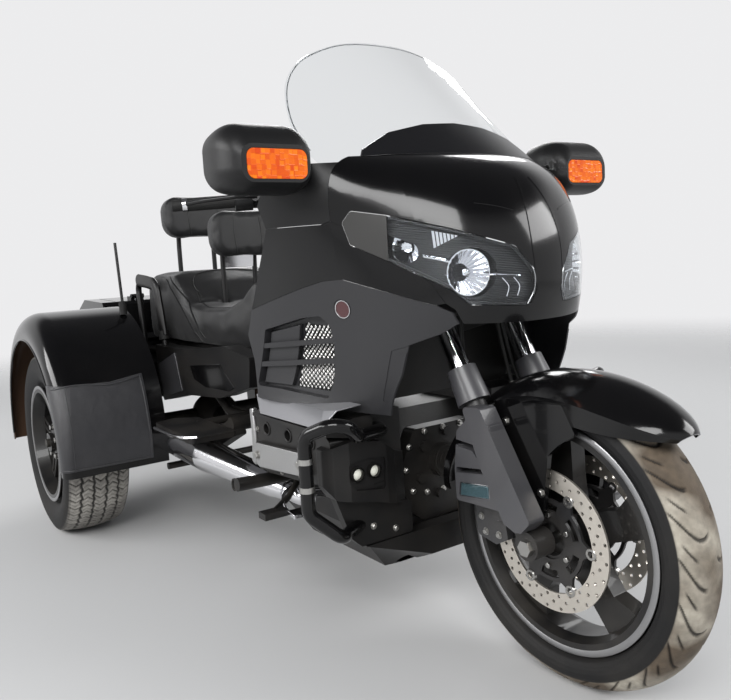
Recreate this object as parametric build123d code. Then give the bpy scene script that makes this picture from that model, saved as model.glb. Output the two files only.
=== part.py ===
"""Motorized trike: a flat-six touring motorcycle front with a two-wheel rear axle and trunk body.

Stations are in millimetres from the front axle: X forward, Y to the rider's left, Z up from the
ground. save() moves each piece so that the length is centred on the origin.
"""
from build123d import *
from functools import lru_cache
import math
import os

os.makedirs("parts", exist_ok=True)

# Driving dimensions
WHEELBASE = 1810
REAR_OVERHANG = 570
FRONT_TYRE_R = 320
FRONT_TYRE_W = 130
FRONT_BEAD_R = 228
REAR_TYRE_R = 320
REAR_TYRE_W = 205
REAR_BEAD_R = 192
REAR_TRACK = 1100
RAKE_DEG = 29.15
TRAIL = 109
FORK_Y = 104
FORK_OFFSET = 45
FORK_TUBE_R = 22.5
DISC_R = 148
DISC_Y = 68
AXLE_R = 12
STUB_R = 15
RUN_FIT = 0.05
SEAT_GAP = 0.3
PANEL_T = 4
PANEL_GAP = 1.0
LID_GAP = 5.0

REAR_X = -WHEELBASE
TAIL_X = REAR_X - REAR_OVERHANG
X_ROW = (WHEELBASE + REAR_OVERHANG - FRONT_TYRE_R) / 2


# Small tools for shapes
def save(node, shape):
    export_step(Pos(X_ROW, 0, 0) * shape, f"parts/{node}.step")


def flip(shape):
    return mirror(shape, about=Plane.XZ)


def both(shape):
    return shape + flip(shape)


def block(x, y, z):
    """A box from three (low, high) pairs."""
    size = [high - low for low, high in (x, y, z)]
    middle = [(high + low) / 2 for low, high in (x, y, z)]
    return Pos(*middle) * Box(*size)


def outline(points, radius=0):
    """A closed line of corners, each rounded by an arc as large as radius and its runs allow."""
    if not radius:
        return Polyline(*points, close=True)
    corners = [Vector(*point) for point in points]
    edges, joints = [], []
    for index, corner in enumerate(corners):
        back = corners[index - 1] - corner
        ahead = corners[(index + 1) % len(corners)] - corner
        half = math.radians(back.get_angle(ahead)) / 2
        cut = min(radius / math.tan(half), 0.45 * back.length, 0.45 * ahead.length)
        bisector = (back.normalized() + ahead.normalized()).normalized()
        depth = cut / math.cos(half) - cut * math.tan(half)
        start, end = corner + back.normalized() * cut, corner + ahead.normalized() * cut
        joints.append((start, end))
        edges.append(ThreePointArc(start, corner + bisector * depth, end))
    for index, (_, end) in enumerate(joints):
        edges.append(Line(end, joints[(index + 1) % len(joints)][0]))
    return Wire(edges)


def side_slab(points, y, radius=0):
    """A side-view outline of (x, z) corners, as thick as the (low, high) pair y."""
    line = outline([(px, y[1], pz) for px, pz in points], radius)
    return extrude(make_face(line.edges()), amount=y[1] - y[0], dir=(0, -1, 0))


def front_slab(points, x, radius=0):
    """A front-view outline of (y, z) corners, as long as the (low, high) pair x."""
    line = outline([(x[0], py, pz) for py, pz in points], radius)
    return extrude(make_face(line.edges()), amount=x[1] - x[0], dir=(1, 0, 0))


def plan_slab(points, z, radius=0):
    """A top-view outline of (x, y) corners, as high as the (low, high) pair z."""
    line = outline([(px, py, z[0]) for px, py in points], radius)
    return extrude(make_face(line.edges()), amount=z[1] - z[0], dir=(0, 0, 1))


def rod(start, end, radius):
    start, end = Vector(*start), Vector(*end)
    return Plane(origin=start, z_dir=end - start) * extrude(Circle(radius), (end - start).length)


def tube(points, radius, bend):
    """A round bar along straight runs joined by bends of one radius."""
    path = FilletPolyline(*points, radius=bend)
    return sweep(Plane(origin=path @ 0, z_dir=path % 0) * Circle(radius), path=path)


def turned(points, arcs=()):
    """A ring about Y from (y, radius) corners. arcs holds (index, y, radius): the run after
    corner index bulges through that point."""
    bulge = {index: (y, radius) for index, y, radius in arcs}
    edges = []
    for index, point in enumerate(points):
        after = points[(index + 1) % len(points)]
        ends = (0, *point), (0, *after)
        if index in bulge:
            edges.append(ThreePointArc(ends[0], (0, *bulge[index]), ends[1]))
        else:
            edges.append(Line(*ends))
    return revolve(make_face(edges), axis=Axis.Y, revolution_arc=360)


# Steering geometry
RAKE = math.radians(RAKE_DEG)
AXIS_DIR = Vector(-math.sin(RAKE), 0, math.cos(RAKE))


def axis_point(z):
    """The point of the steering axis at height z."""
    return Vector(TRAIL - z * math.tan(RAKE), 0, z)


def fork_point(z, side=-1):
    """The point of a fork tube's centre line at height z."""
    ahead = FORK_OFFSET / math.cos(RAKE)
    return axis_point(z) + Vector(ahead, side * FORK_Y, 0)


def on_axis(z, flat=0, side=0):
    """A plane square to the steering axis at height z, moved ahead by flat and across by side."""
    origin = axis_point(z) + Vector(math.cos(RAKE), 0, math.sin(RAKE)) * flat + Vector(0, side, 0)
    return Plane(origin=origin, x_dir=(math.cos(RAKE), 0, math.sin(RAKE)), z_dir=AXIS_DIR)


# Front wheel: cast rim with five swept blades, tyre and two drilled discs
FRONT_CENTRE = Pos(0, 0, FRONT_TYRE_R)
FRONT_LIP_R = 242
FRONT_LIP_Y = 50
FRONT_SPOKES = 5
FRONT_SPOKE_PHASE = 22


def front_rim():
    barrel = turned(
        [(-FRONT_LIP_Y, FRONT_LIP_R), (-FRONT_LIP_Y, 216), (-30, 206), (30, 206),
         (FRONT_LIP_Y, 216), (FRONT_LIP_Y, FRONT_LIP_R), (FRONT_LIP_Y - 7, FRONT_LIP_R - 4),
         (FRONT_LIP_Y - 9, FRONT_BEAD_R - 0.5), (-FRONT_LIP_Y + 9, FRONT_BEAD_R - 0.5),
         (-FRONT_LIP_Y + 7, FRONT_LIP_R - 4)])
    hub = turned([(-46, AXLE_R + RUN_FIT), (-46, 40), (-34, 58), (34, 58), (46, 40),
                  (46, AXLE_R + RUN_FIT)])
    blade = side_slab([(48, -36), (120, -32), (206, -34), (208, 62), (150, 28), (46, 34)], (-20, 20))
    blade = fillet(blade.edges().filter_by(Axis.Y), 4)
    rim = barrel + hub
    for index in range(FRONT_SPOKES):
        angle = FRONT_SPOKE_PHASE + index * 360 / FRONT_SPOKES
        rim = rim + Rot(0, -angle, 0) * blade
    return FRONT_CENTRE * rim


def tyre(radius, width, bead_r, bead_y, crown, lip_clear):
    """A closed tyre section: beads outside the rim's seat, bulged walls and a crowned tread."""
    half = width / 2
    wall_r = bead_r + (radius - bead_r) * 0.42
    edge_y = half * 0.93
    edge_r = radius - crown
    points = [(-bead_y, bead_r), (-bead_y, bead_r + lip_clear), (-edge_y, edge_r),
              (edge_y, edge_r), (bead_y, bead_r + lip_clear), (bead_y, bead_r)]
    arcs = [(1, -half, wall_r), (2, 0, radius), (3, half, wall_r)]
    return turned(points, arcs)


def front_tyre():
    return FRONT_CENTRE * tyre(FRONT_TYRE_R, FRONT_TYRE_W, FRONT_BEAD_R, FRONT_LIP_Y - 10, 34, 17)


DISC_T = 5
BOBBINS = 6


def brake_discs():
    """Two floating discs: a ring, a spoked carrier and the bobbins that join them."""
    face = DISC_Y + DISC_T / 2
    ring = turned([(DISC_Y - DISC_T / 2, 108), (face, 108), (face, DISC_R),
                   (DISC_Y - DISC_T / 2, DISC_R)])
    carrier = turned([(46, 30), (DISC_Y + 1, 30), (DISC_Y + 1, 104), (DISC_Y - 4, 104),
                      (DISC_Y - 4, 60), (46, 44)])
    for index in range(BOBBINS):
        carrier = carrier - Rot(0, index * 60 + 30, 0) * Pos(82, DISC_Y, 0) * Rot(90, 0, 0) \
            * Cylinder(14, 20)
        ring = ring + Rot(0, index * 60, 0) * Pos(106, DISC_Y + 0.5, 0) * Rot(90, 0, 0) \
            * Cylinder(11, DISC_T + 2)
    return FRONT_CENTRE * both(ring + carrier)


# Rear wheels: five-spoke car rims and low car tyres
REAR_LIP_R = 207
REAR_LIP_Y = 100
REAR_SPOKES = 5


def rear_place(side):
    return Pos(REAR_X, side * REAR_TRACK / 2, REAR_TYRE_R)


def rear_rim(side):
    """The face of the spokes is on the outer side of the wheel."""
    lip = REAR_LIP_Y
    barrel = turned([(-lip, REAR_LIP_R), (-lip, 182), (-60, 170), (60, 170), (lip, 182),
                     (lip, REAR_LIP_R), (lip - 9, REAR_LIP_R - 5), (lip - 11, REAR_BEAD_R - 0.5),
                     (-lip + 11, REAR_BEAD_R - 0.5), (-lip + 9, REAR_LIP_R - 5)])
    hub = turned([(-70, STUB_R + RUN_FIT), (-70, 62), (66, 62), (72, 34), (86, 34),
                  (86, STUB_R + RUN_FIT)])
    spoke = side_slab([(40, -24), (176, -20), (176, 20), (40, 24)], (38, 62))
    spoke = spoke - Pos(120, 62, 0) * Box(80, 12, 12)
    rim = barrel + hub
    for index in range(REAR_SPOKES):
        rim = rim + Rot(0, -90 - index * 360 / REAR_SPOKES, 0) * spoke
    if side < 0:
        rim = flip(rim)
    return rear_place(side) * rim


def rear_tyre(side):
    return rear_place(side) * tyre(REAR_TYRE_R, REAR_TYRE_W, REAR_BEAD_R, REAR_LIP_Y - 12, 12, 19)


# Fork: tubes, sliders, clamps, covers, axle, calipers, fender
CLAMP_LOW_Z = 742
CLAMP_TOP_Z = 958
HEAD_LOW_Z = 772
HEAD_TOP_Z = 925
STEM_R = 15
SLIDER_R = 24
SLIDER_TOP_Z = 600
LUG_HALF = 26
TUBE_TOP_Z = 985


def axle_lug(side):
    return Pos(-6, side * FORK_Y, FRONT_TYRE_R) * Rot(90, 0, 0) * Cylinder(30, 2 * LUG_HALF)


def fork_sliders():
    leg = rod(fork_point(FRONT_TYRE_R - 6), fork_point(SLIDER_TOP_Z), SLIDER_R) + axle_lug(-1)
    leg = leg - rod(fork_point(SLIDER_TOP_Z - 120), fork_point(SLIDER_TOP_Z + 20), FORK_TUBE_R)
    leg = leg - Pos(0, 0, FRONT_TYRE_R) * Rot(90, 0, 0) * Cylinder(AXLE_R, 400)
    return both(leg)


def fork_tubes():
    return both(rod(fork_point(SLIDER_TOP_Z - 120), fork_point(TUBE_TOP_Z), FORK_TUBE_R))


def clamp_plate(z, thick):
    """A yoke that grips both tubes and the stem."""
    half = FORK_Y
    left = [(-42, 30), (20, half + 36), (76, half + 36), (76, half - 36), (48, 24)]
    corners = left + [(x, -y) for x, y in reversed(left)]
    plate = make_face(outline([(x, y, 0) for x, y in corners], 12).edges())
    body = extrude(plate, thick)
    for side in (-1, 1):
        body = body - Pos(FORK_OFFSET, side * half, 0) * Cylinder(FORK_TUBE_R, 4 * thick)
    return on_axis(z) * body


def triple_clamps():
    """Lower and upper yokes on one stem, with the two risers that hold the bar."""
    low = clamp_plate(CLAMP_LOW_Z, 24)
    top = clamp_plate(CLAMP_TOP_Z, 20)
    stem = rod(axis_point(CLAMP_LOW_Z + 2), axis_point(CLAMP_TOP_Z + 30), STEM_R)
    body = low + top + stem
    for side in (-1, 1):
        foot = axis_point(CLAMP_TOP_Z + 12) + Vector(12, side * 62, 6)
        riser = rod(foot, BAR_CLAMP + Vector(-2, side * 62, 14), 20)
        body = body + riser
    return body - handlebar()


BAR_CLAMP = Vector(-470, 0, 1062)
BAR_R = 12.7
# Right half of the handlebar: corners of its bends
BAR_RUN = [(-470, 0, 1062), (-470, -95, 1062), (-640, -190, 1088), (-790, -225, 1080),
           (-888, -440, 1072)]
GRIP_LENGTH = 132
GRIP_R = 17


def bar_end(distance):
    """A point on the straight grip run, that far in from the bar's end."""
    tip, before = Vector(*BAR_RUN[-1]), Vector(*BAR_RUN[-2])
    return tip + (before - tip).normalized() * distance


def handlebar():
    right = tube(BAR_RUN, BAR_R, 38)
    return both(right)


def grips():
    grip = rod(bar_end(6), bar_end(6 + GRIP_LENGTH), GRIP_R) - rod(bar_end(-20), bar_end(300), BAR_R)
    weight = rod(bar_end(-22), bar_end(5.7), 15)
    return both(grip + (weight - rod(bar_end(0), bar_end(300), BAR_R)))


def hand_controls():
    """Switch housing, lever perch, master cylinder and lever, on each side."""
    inner, outer = bar_end(GRIP_LENGTH + 52), bar_end(GRIP_LENGTH + 7)
    pod = rod(inner, outer, 27)
    perch = rod(bar_end(GRIP_LENGTH + 70), bar_end(GRIP_LENGTH + 53), 22)
    arm = rod(bar_end(GRIP_LENGTH + 60), bar_end(GRIP_LENGTH + 40) + Vector(52, -4, 6), 12)
    lever = tube([bar_end(GRIP_LENGTH + 44) + Vector(52, -4, 6),
                  bar_end(GRIP_LENGTH - 20) + Vector(66, 0, 8), bar_end(30) + Vector(62, 0, 4),
                  bar_end(-4) + Vector(48, 0, 0)], 6, 22)
    bowl = Pos(*(bar_end(GRIP_LENGTH + 60) + Vector(26, 16, 30))) * Box(58, 46, 34)
    control = pod + perch + arm + lever + bowl
    control = control - tube([(-470, -96, 1062)] + BAR_RUN[2:], BAR_R, 38)
    return both(control - grips())


# Slits and reflector seat in each lower guard's wing, as side-view (x, z) corners
GUARD_SLITS = [[(-186, 500), (-136, 496), (-112, 474), (-104, 484), (-132, 510), (-186, 514)],
               [(-188, 440), (-104, 452), (-100, 463), (-188, 452)]]
REFLECTOR = [(-182, 389), (-88, 401), (-90, 431), (-178, 421)]


def fork_covers():
    """Grey upper sleeve round each tube and grey lower guard outside each slider."""
    sleeve_low, sleeve_top = fork_point(590), fork_point(658)
    sleeve = Plane(origin=sleeve_low, z_dir=AXIS_DIR) * extrude(
        Circle(37), (sleeve_top - sleeve_low).length, taper=3)
    sleeve = sleeve - rod(fork_point(560), fork_point(700), FORK_TUBE_R)
    sleeve = sleeve - rod(fork_point(560), fork_point(SLIDER_TOP_Z + SEAT_GAP), SLIDER_R + SEAT_GAP)
    guard = side_slab([(-158, 588), (-104, 592), (-35, 479), (26, 380), (-4, 348), (-44, 362),
                       (-110, 470)], (-152, -FORK_Y - 4), 9)
    wing = side_slab([(-190, 378), (-134, 381), (-30, 384), (-80, 560), (-152, 560), (-182, 533),
                      (-193, 448)], (-147, -FORK_Y - 8), 7)
    for slit in GUARD_SLITS:
        wing = wing - side_slab(slit, (-160, -FORK_Y), 3)
    slot = side_slab(REFLECTOR, (-160, -141), 4)
    guard = guard + (wing - slot)
    guard = guard - rod(fork_point(300), fork_point(700), SLIDER_R) - slot
    guard = guard - axle_lug(-1) - Pos(0, -FORK_Y, FRONT_TYRE_R) * Rot(90, 0, 0) * Cylinder(34, 120)
    return both(sleeve + guard)


def front_axle():
    face = FORK_Y + LUG_HALF
    pin = rod((0, -face - 4, FRONT_TYRE_R), (0, face + 4, FRONT_TYRE_R), AXLE_R)
    nut = Pos(0, -face, FRONT_TYRE_R) * Rot(90, 0, 0) * extrude(RegularPolygon(17, 6), 14)
    head = Pos(0, face + 14, FRONT_TYRE_R) * Rot(90, 0, 0) * extrude(RegularPolygon(17, 6), 14)
    return pin + nut + head


def brake_calipers():
    """A block behind each slider that straddles its disc."""
    body = side_slab([(-188, 352), (-150, 372), (-104, 366), (-92, 300), (-128, 280), (-184, 290)],
                     (-DISC_Y - 26, -DISC_Y + 18), 10)
    slot = Pos(0, -DISC_Y, FRONT_TYRE_R) * Rot(90, 0, 0) * Cylinder(DISC_R + 6, DISC_T + 12)
    lug = side_slab([(-120, 378), (-60, 390), (-50, 350), (-120, 340)], (-FORK_Y - 2, -DISC_Y - 11))
    body = (body - slot) + lug
    return both(body - rod(fork_point(260), fork_point(640), SLIDER_R))


# Front fender sections: angle up from ahead, half width, crown radius, side depth radius
FENDER_SECTIONS = [
    (172, 74, 342, 300),
    (135, 76, 340, 286),
    (100, 77, 341, 262),
    (74, 88, 356, 262),
    (55, 82, 374, 298),
    (42, 30, 377, 356),
]
FENDER_T = 4


def fender_section(angle, half, crown, side):
    """A radial slice of the fender shell about the axle."""
    along = Vector(math.cos(math.radians(angle)), 0, math.sin(math.radians(angle)))
    centre = Vector(0, 0, FRONT_TYRE_R)
    shoulder = crown - (crown - side) * 0.55
    t = FENDER_T

    def at(y, radius):
        return centre + along * radius + Vector(0, y, 0)

    edges = [
        Line(at(-half, side), at(-half, shoulder)),
        ThreePointArc(at(-half, shoulder), at(0, crown), at(half, shoulder)),
        Line(at(half, shoulder), at(half, side)),
        Line(at(half, side), at(half - t, side)),
        Line(at(half - t, side), at(half - t, shoulder - t / 2)),
        ThreePointArc(at(half - t, shoulder - t / 2), at(0, crown - t), at(t - half, shoulder - t / 2)),
        Line(at(t - half, shoulder - t / 2), at(t - half, side)),
        Line(at(t - half, side), at(-half, side)),
    ]
    return make_face(edges)


def front_fender():
    shell = loft([fender_section(*row) for row in FENDER_SECTIONS])
    wing = side_slab([(6, 380), (23, 505), (49, 529), (92, 556), (60, 610), (-40, 604), (-124, 572),
                      (-118, 500), (-70, 424)], (-92, -74), 6)
    wing = wing - Pos(0, 0, FRONT_TYRE_R) * Rot(90, 0, 0) * Cylinder(DISC_R + 6, 2 * (DISC_Y + 10))
    inner = block((-200, 200), (-FENDER_CORE_Y, FENDER_CORE_Y), (300, 900))
    wing = wing - inner - rod(fork_point(260), fork_point(700), SLIDER_R + SEAT_GAP)
    sleeve_space = rod(fork_point(570), fork_point(700), 40)
    wing = wing - sleeve_space
    shell = shell - both(sleeve_space)
    return shell + both(wing)


FENDER_CORE_Y = 80


# Frame, engine and running gear
@lru_cache
def frame_spars():
    """Head tube, two spars over the engine, rear rails and cross tubes in one welding."""
    head = rod(axis_point(HEAD_LOW_Z), axis_point(HEAD_TOP_Z), 34)
    plan = [(-345, -24), (-470, -36), (-560, -116), (-900, -150), (-1130, -150), (-1130, -112),
            (-900, -112), (-590, -74), (-520, 0), (-345, 0)]
    top_view = both(plan_slab(plan, (300, 950)))
    side = side_slab([(-362, 800), (-396, 900), (-560, 842), (-900, 700), (-1060, 640), (-1130, 400),
                      (-1040, 380), (-965, 560), (-880, 600), (-560, 700), (-440, 752)], (-200, 200))
    rails = both(tube([(-1020, -131, 600), (-1500, -150, 600), (-1880, -150, 600)], 17, 60))
    braces = both(tube([(-1080, -131, 420), (-1330, -150, 420), (-1640, -150, 590)], 15, 60))
    crosses = rod((-1080, -131, 430), (-1080, 131, 430), 24)
    for x in (-1300, -1620, -1850):
        crosses = crosses + rod((x, -150, 600), (x, 150, 600), 14)
    body = head + (top_view & side) + rails + braces + crosses
    return body - rod(axis_point(HEAD_LOW_Z - 20), axis_point(HEAD_TOP_Z + 20), STEM_R + RUN_FIT)


ENGINE_TOP = 520
HEAD_FACE_Y = 272


@lru_cache
def engine_block():
    """Crankcase, gearbox and two three-cylinder banks as one mass."""
    case = side_slab([(-436, 260), (-436, 470), (-520, ENGINE_TOP), (-860, ENGINE_TOP), (-1030, 480),
                      (-1030, 240), (-900, 190), (-520, 190)], (-150, 150))
    bank = side_slab([(-380, 400), (-380, 560), (-676, 560), (-676, 400)],
                     (-HEAD_FACE_Y, -150))
    return case + both(bank) - frame_spars()


def cylinder_head_covers():
    """Ribbed cover with three plug wells, a bright strip ledge and a sloped upper shield."""
    cover = side_slab([(-688, 530), (-650, 544), (-370, 544), (-336, 520), (-340, 430), (-416, 412),
                       (-640, 396), (-690, 420)], (-372, -HEAD_FACE_Y), 12)
    ledge = side_slab([(-672, 470), (-430, 486), (-420, 430), (-655, 404)], (-384, -340), 6)
    wells = None
    for index in range(3):
        well = Pos(-625 + index * 105, -372, 508) * Rot(90, 0, 0) * Cylinder(13, 30)
        wells = well if wells is None else wells + well
    shield = front_slab([(-384, 536), (-384, 544), (-312, 566), (-262, 566), (-262, 530), (-300, 520)],
                        (-676, -330))
    return both((cover + ledge + shield) - wells - engine_block())


def timing_cover():
    """Cast front cover with a round boss and five bolt bosses."""
    cover = front_slab([(-125, 300), (-140, 400), (-96, 492), (96, 492), (140, 400), (125, 300),
                        (80, 262), (-80, 262)], (-436, -398), 16)
    boss = rod((-398, -9, 404), (-376, -9, 404), 44)
    for index in range(6):
        angle = math.radians(60 * index + 20)
        y, z = -9 + 78 * math.cos(angle), 396 + 78 * math.sin(angle)
        boss = boss + rod((-398, y, z), (-388, y, z), 12)
    return cover + boss


def belly_cowl():
    """Black under-cowl with a raised chin and side wings, open at the top."""
    outer = loft([
        make_face(Polyline((-344, -96, 196), (-344, 96, 196), (-344, 286, 264), (-344, -286, 264),
                           close=True).edges()),
        make_face(Polyline((-470, -150, 142), (-470, 150, 142), (-470, 236, 262), (-470, -236, 262),
                           close=True).edges()),
        make_face(Polyline((-820, -150, 142), (-820, 150, 142), (-820, 236, 262), (-820, -236, 262),
                           close=True).edges()),
        make_face(Polyline((-960, -120, 172), (-960, 120, 172), (-960, 170, 262), (-960, -170, 262),
                           close=True).edges()),
    ], ruled=True)
    core = block((-950, -385), (-140, 140), (160, 300))
    wings = side_slab([(-490, 262), (-490, 330), (-660, 300), (-660, 262)], (-236, -226))
    return (outer - core + both(wings)) - engine_block()


# Fog lamp seats: y and z of the two lamps on each pod's front face
POD_FRONT_X = -318
FOG_Y = (-271, -316)
FOG_Z = 443
FOG_R = 17


def lamp_pods():
    """Two moulded side pods ahead of the cylinders with twin round lamp seats."""
    plan = [(-379, -150), (-372, -150), (-324, -210), (POD_FRONT_X, -236), (POD_FRONT_X, -336),
            (-330, -370), (-350, -388), (-372, -388), (-379, -300)]
    side = front_slab([(-140, 330), (-140, 452), (-212, 478), (-250, 506), (-330, 519), (-390, 504),
                       (-392, 430), (-366, 392), (-270, 372)], (-500, -200), 12)
    pod = plan_slab(plan, (310, 530), 6) & side
    recess = front_slab([(-244, 396), (-240, 468), (-286, 475), (-338, 470), (-338, 430),
                         (-322, 408)], (-324, -300), 8)
    pod = pod - recess
    for y in FOG_Y:
        pod = pod - rod((-344, y, FOG_Z), (-300, y, FOG_Z), FOG_R + SEAT_GAP)
    skirt = front_slab([(-362, 400), (-322, 290), (-296, 266), (-150, 266), (-150, 340), (-270, 376)],
                       (-372, -348), 6)
    pod = pod + skirt - guard_tube()
    return both(pod - engine_block() - cylinder_head_covers() - timing_cover())


def fog_lamps():
    """Round lamps with a dished front, pressed into the pods' seats."""
    lamps = None
    for y in FOG_Y:
        lamp = rod((-343.7, y, FOG_Z), (-316, y, FOG_Z), FOG_R)
        lamp = lamp - rod((-328, y, FOG_Z), (-310, y, FOG_Z), FOG_R - 4)
        lamps = lamp if lamps is None else lamps + lamp
    return both(lamps - cylinder_head_covers())


def guard_tube():
    """The right-hand guard tube, uncut."""
    run = [(-470, -210, 520), (-345, -225, 524), (-262, -350, 544), (-226, -408, 592),
           (-316, -446, 552), (-316, -446, 384), (-296, -380, 322), (-470, -140, 300)]
    return tube(run, 15, 34)


def engine_guards():
    """A bent tube guard round each head, back to the crankcase."""
    return both(guard_tube() - engine_block()) - cylinder_head_covers()


def exhaust_system():
    """Header collector under the engine and one chrome muffler each side."""
    muffler = loft([
        Plane(origin=(-742, -262, 302), z_dir=(-1, -0.16, 0.08)) * Circle(28),
        Plane(origin=(-800, -271, 307), z_dir=(-1, -0.16, 0.08)) * Circle(36),
        Plane(origin=(-1140, -322, 338), z_dir=(-1, -0.1, 0.06)) * Circle(50),
        Plane(origin=(-1400, -326, 346), z_dir=(-1, 0, 0)) * Circle(50),
    ], ruled=True)
    muffler = muffler - rod((-1420, -326, 346), (-1372, -326, 346), 42)
    feed = tube([(-746, -262, 302), (-690, -250, 292), (-600, -140, 292)], 24, 40)
    return both(muffler + feed - engine_block() - belly_cowl())


def rider_pegs():
    """Rider pegs with brackets, shift and brake pedals."""
    peg = rod((-700, -290, 357), (-700, -430, 362), 17)
    arm = rod((-700, -140, 350), (-700, -300, 357), 14)
    pedal = tube([(-690, -250, 352), (-620, -330, 326), (-560, -400, 322)], 8, 30)
    pad = Pos(-552, -408, 320) * Box(34, 62, 16)
    return both(peg + arm + pedal + pad - engine_block())


def passenger_boards():
    board = plan_slab([(-960, -300), (-960, -440), (-1270, -430), (-1290, -360), (-1240, -300)],
                      (422, 438), 12)
    stay = rod((-1180, -139, 430), (-1180, -330, 430), 12)
    return both(board + stay - frame_spars())


def foot_rests():
    return rider_pegs() + passenger_boards()


# Rear end: axle, links, wheel bodywork
def rear_axle():
    """Axle tube with differential, hub flanges and stubs that carry the wheels."""
    half = REAR_TRACK / 2
    body = rod((REAR_X, -half + 74, REAR_TYRE_R), (REAR_X, half - 74, REAR_TYRE_R), 38)
    body = body + Pos(REAR_X, 0, REAR_TYRE_R) * Sphere(92)
    body = body + rod((REAR_X + 70, 0, REAR_TYRE_R), (REAR_X + 190, 0, REAR_TYRE_R + 10), 46)
    for side in (-1, 1):
        body = body + rod((REAR_X, side * (half - 88), REAR_TYRE_R),
                          (REAR_X, side * (half - 72), REAR_TYRE_R), 78)
        body = body + rod((REAR_X, side * (half - 80), REAR_TYRE_R),
                          (REAR_X, side * (half + 96), REAR_TYRE_R), STUB_R)
    return body


def rear_links():
    """Trailing arms and the anti-roll bar."""
    arm = side_slab([(-1080, 452), (-1060, 400), (-1400, 250), (REAR_X + 60, 268), (REAR_X + 46, 310),
                     (-1400, 300)], (-262, -222), 8)
    arm = arm + rod((-1085, -131, 430), (-1085, -262, 430), 22)
    seat = rod((REAR_X, -262, REAR_TYRE_R - 10), (REAR_X, -222, REAR_TYRE_R - 10), 62)
    bar = rod((-1560, -300, 215), (-1560, 300, 215), 12)
    links = both(arm + seat) + bar + both(rod((-1560, -242, 215), (-1560, -242, 290), 10))
    return links - rear_axle() - frame_spars()


BODY_Y = 350
FENDER_Y = 685
ARCH_R = 372
WELL_R = 345
WELL_SKIRT = 60

# Rear fender slices about the axle: angle up from ahead, crown radius, shoulder rounding
REAR_FENDER = [(-6, 412, 28), (20, 425, 38), (50, 452, 62), (90, 462, 70), (130, 454, 66),
               (160, 437, 48), (186, 428, 40)]


def fender_slice(angle, crown, rounding, inset):
    """A radial slice across a rear fender: arch edge, rounded shoulder, crown and inner wall."""
    along = Vector(math.cos(math.radians(angle)), 0, math.sin(math.radians(angle)))
    centre = Vector(REAR_X, 0, REAR_TYRE_R)
    skirt = WELL_SKIRT if inset > 0 else 0
    side, wall = FENDER_Y - inset, BODY_Y + inset
    turn_y, turn_r = FENDER_Y - rounding, crown - rounding
    bulge = (rounding - inset) * math.sqrt(0.5)

    def at(y, radius):
        return centre + along * radius - Vector(0, y, 0)

    edges = [
        Line(at(side, ARCH_R - skirt), at(side, turn_r)),
        ThreePointArc(at(side, turn_r), at(turn_y + bulge, turn_r + bulge), at(turn_y, crown - inset)),
        Line(at(turn_y, crown - inset), at(wall, crown - inset)),
        Line(at(wall, crown - inset), at(wall, WELL_R - skirt)),
        Line(at(wall, WELL_R - skirt), at(side, ARCH_R - skirt)),
    ]
    return make_face(edges)


@lru_cache
def fender_body(inset):
    """The right-hand fender as a filled body, moved inward by inset and then open at its ends."""
    rows = list(REAR_FENDER)
    if inset > 0:
        rows[0] = (rows[0][0] - 3, *rows[0][1:])
        rows[-1] = (rows[-1][0] + 3, *rows[-1][1:])
    return loft([fender_slice(*row, inset) for row in rows])


def rear_fender():
    """Right-hand fender: one shell from the arch edge over the crown to the inner wall."""
    return fender_body(0) - fender_body(PANEL_T)


def trunk_outer():
    points = [(-1700, 392), (-1700, 572), (-1712, DECK_Z), (-1900, DECK_Z), (-1985, 660),
              (-1992, 780), (-2004, 792), (-2250, 800), (-2340, 760), (TAIL_X, 600),
              (TAIL_X, 430), (-2250, 392)]
    return side_slab(points, (-BODY_Y, BODY_Y))


DECK_Z = 582.7
LID_X = (-2322, -2028)
LID_Y = 290
PLATE_Z = 545
PLATE_HOLE_Y = 89
PLATE_HOLE_R = 3.5
HINGE_X = -2032
HINGE_Z = 808
HINGE_R = 5
KNUCKLE_R = 9


def trunk_hole(grow):
    return block((LID_X[0] - grow, LID_X[1] + grow), (-LID_Y - grow, LID_Y + grow), (700, 900))


def trunk_body():
    """Hollow trunk moulding between the fenders, open where the lid sits."""
    cavity = block((-2310, -2045), (-270, 270), (420, 850))
    under = side_slab([(-1712, 380), (-1712, 560), (-1890, 560), (-1960, 640), (-1990, 640),
                       (-1990, 380)], (-300, 300))
    body = trunk_outer() - cavity - under - (trunk_hole(LID_GAP) & trunk_skin(40, -20))
    body = body - block((REAR_X - 130, REAR_X + 300), (-340, 340), (200, 450))
    for y in (-PLATE_HOLE_Y, PLATE_HOLE_Y):
        body = body - rod((TAIL_X - 5, y, PLATE_Z), (TAIL_X + 22, y, PLATE_Z), PLATE_HOLE_R)
    for y in (-200, 200):
        ear = block((HINGE_X + 3, HINGE_X + 26), (y - 9, y + 9), (780, HINGE_Z + 6))
        ear = ear + rod((HINGE_X, y - 9, HINGE_Z), (HINGE_X, y + 9, HINGE_Z), KNUCKLE_R)
        body = body + ear + rod((HINGE_X, y - 24, HINGE_Z), (HINGE_X, y + 24, HINGE_Z), HINGE_R)
    return body


def trunk_skin(depth, lift=0):
    """A layer of the trunk's top, from depth below to lift above its surface."""
    points = [(-2004, 792), (-2250, 800), (-2340, 760)]
    low = [(x, z - depth) for x, z in points]
    high = [(x, z - lift) for x, z in reversed(points)]
    return side_slab(low + high, (-BODY_Y, BODY_Y))


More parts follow.
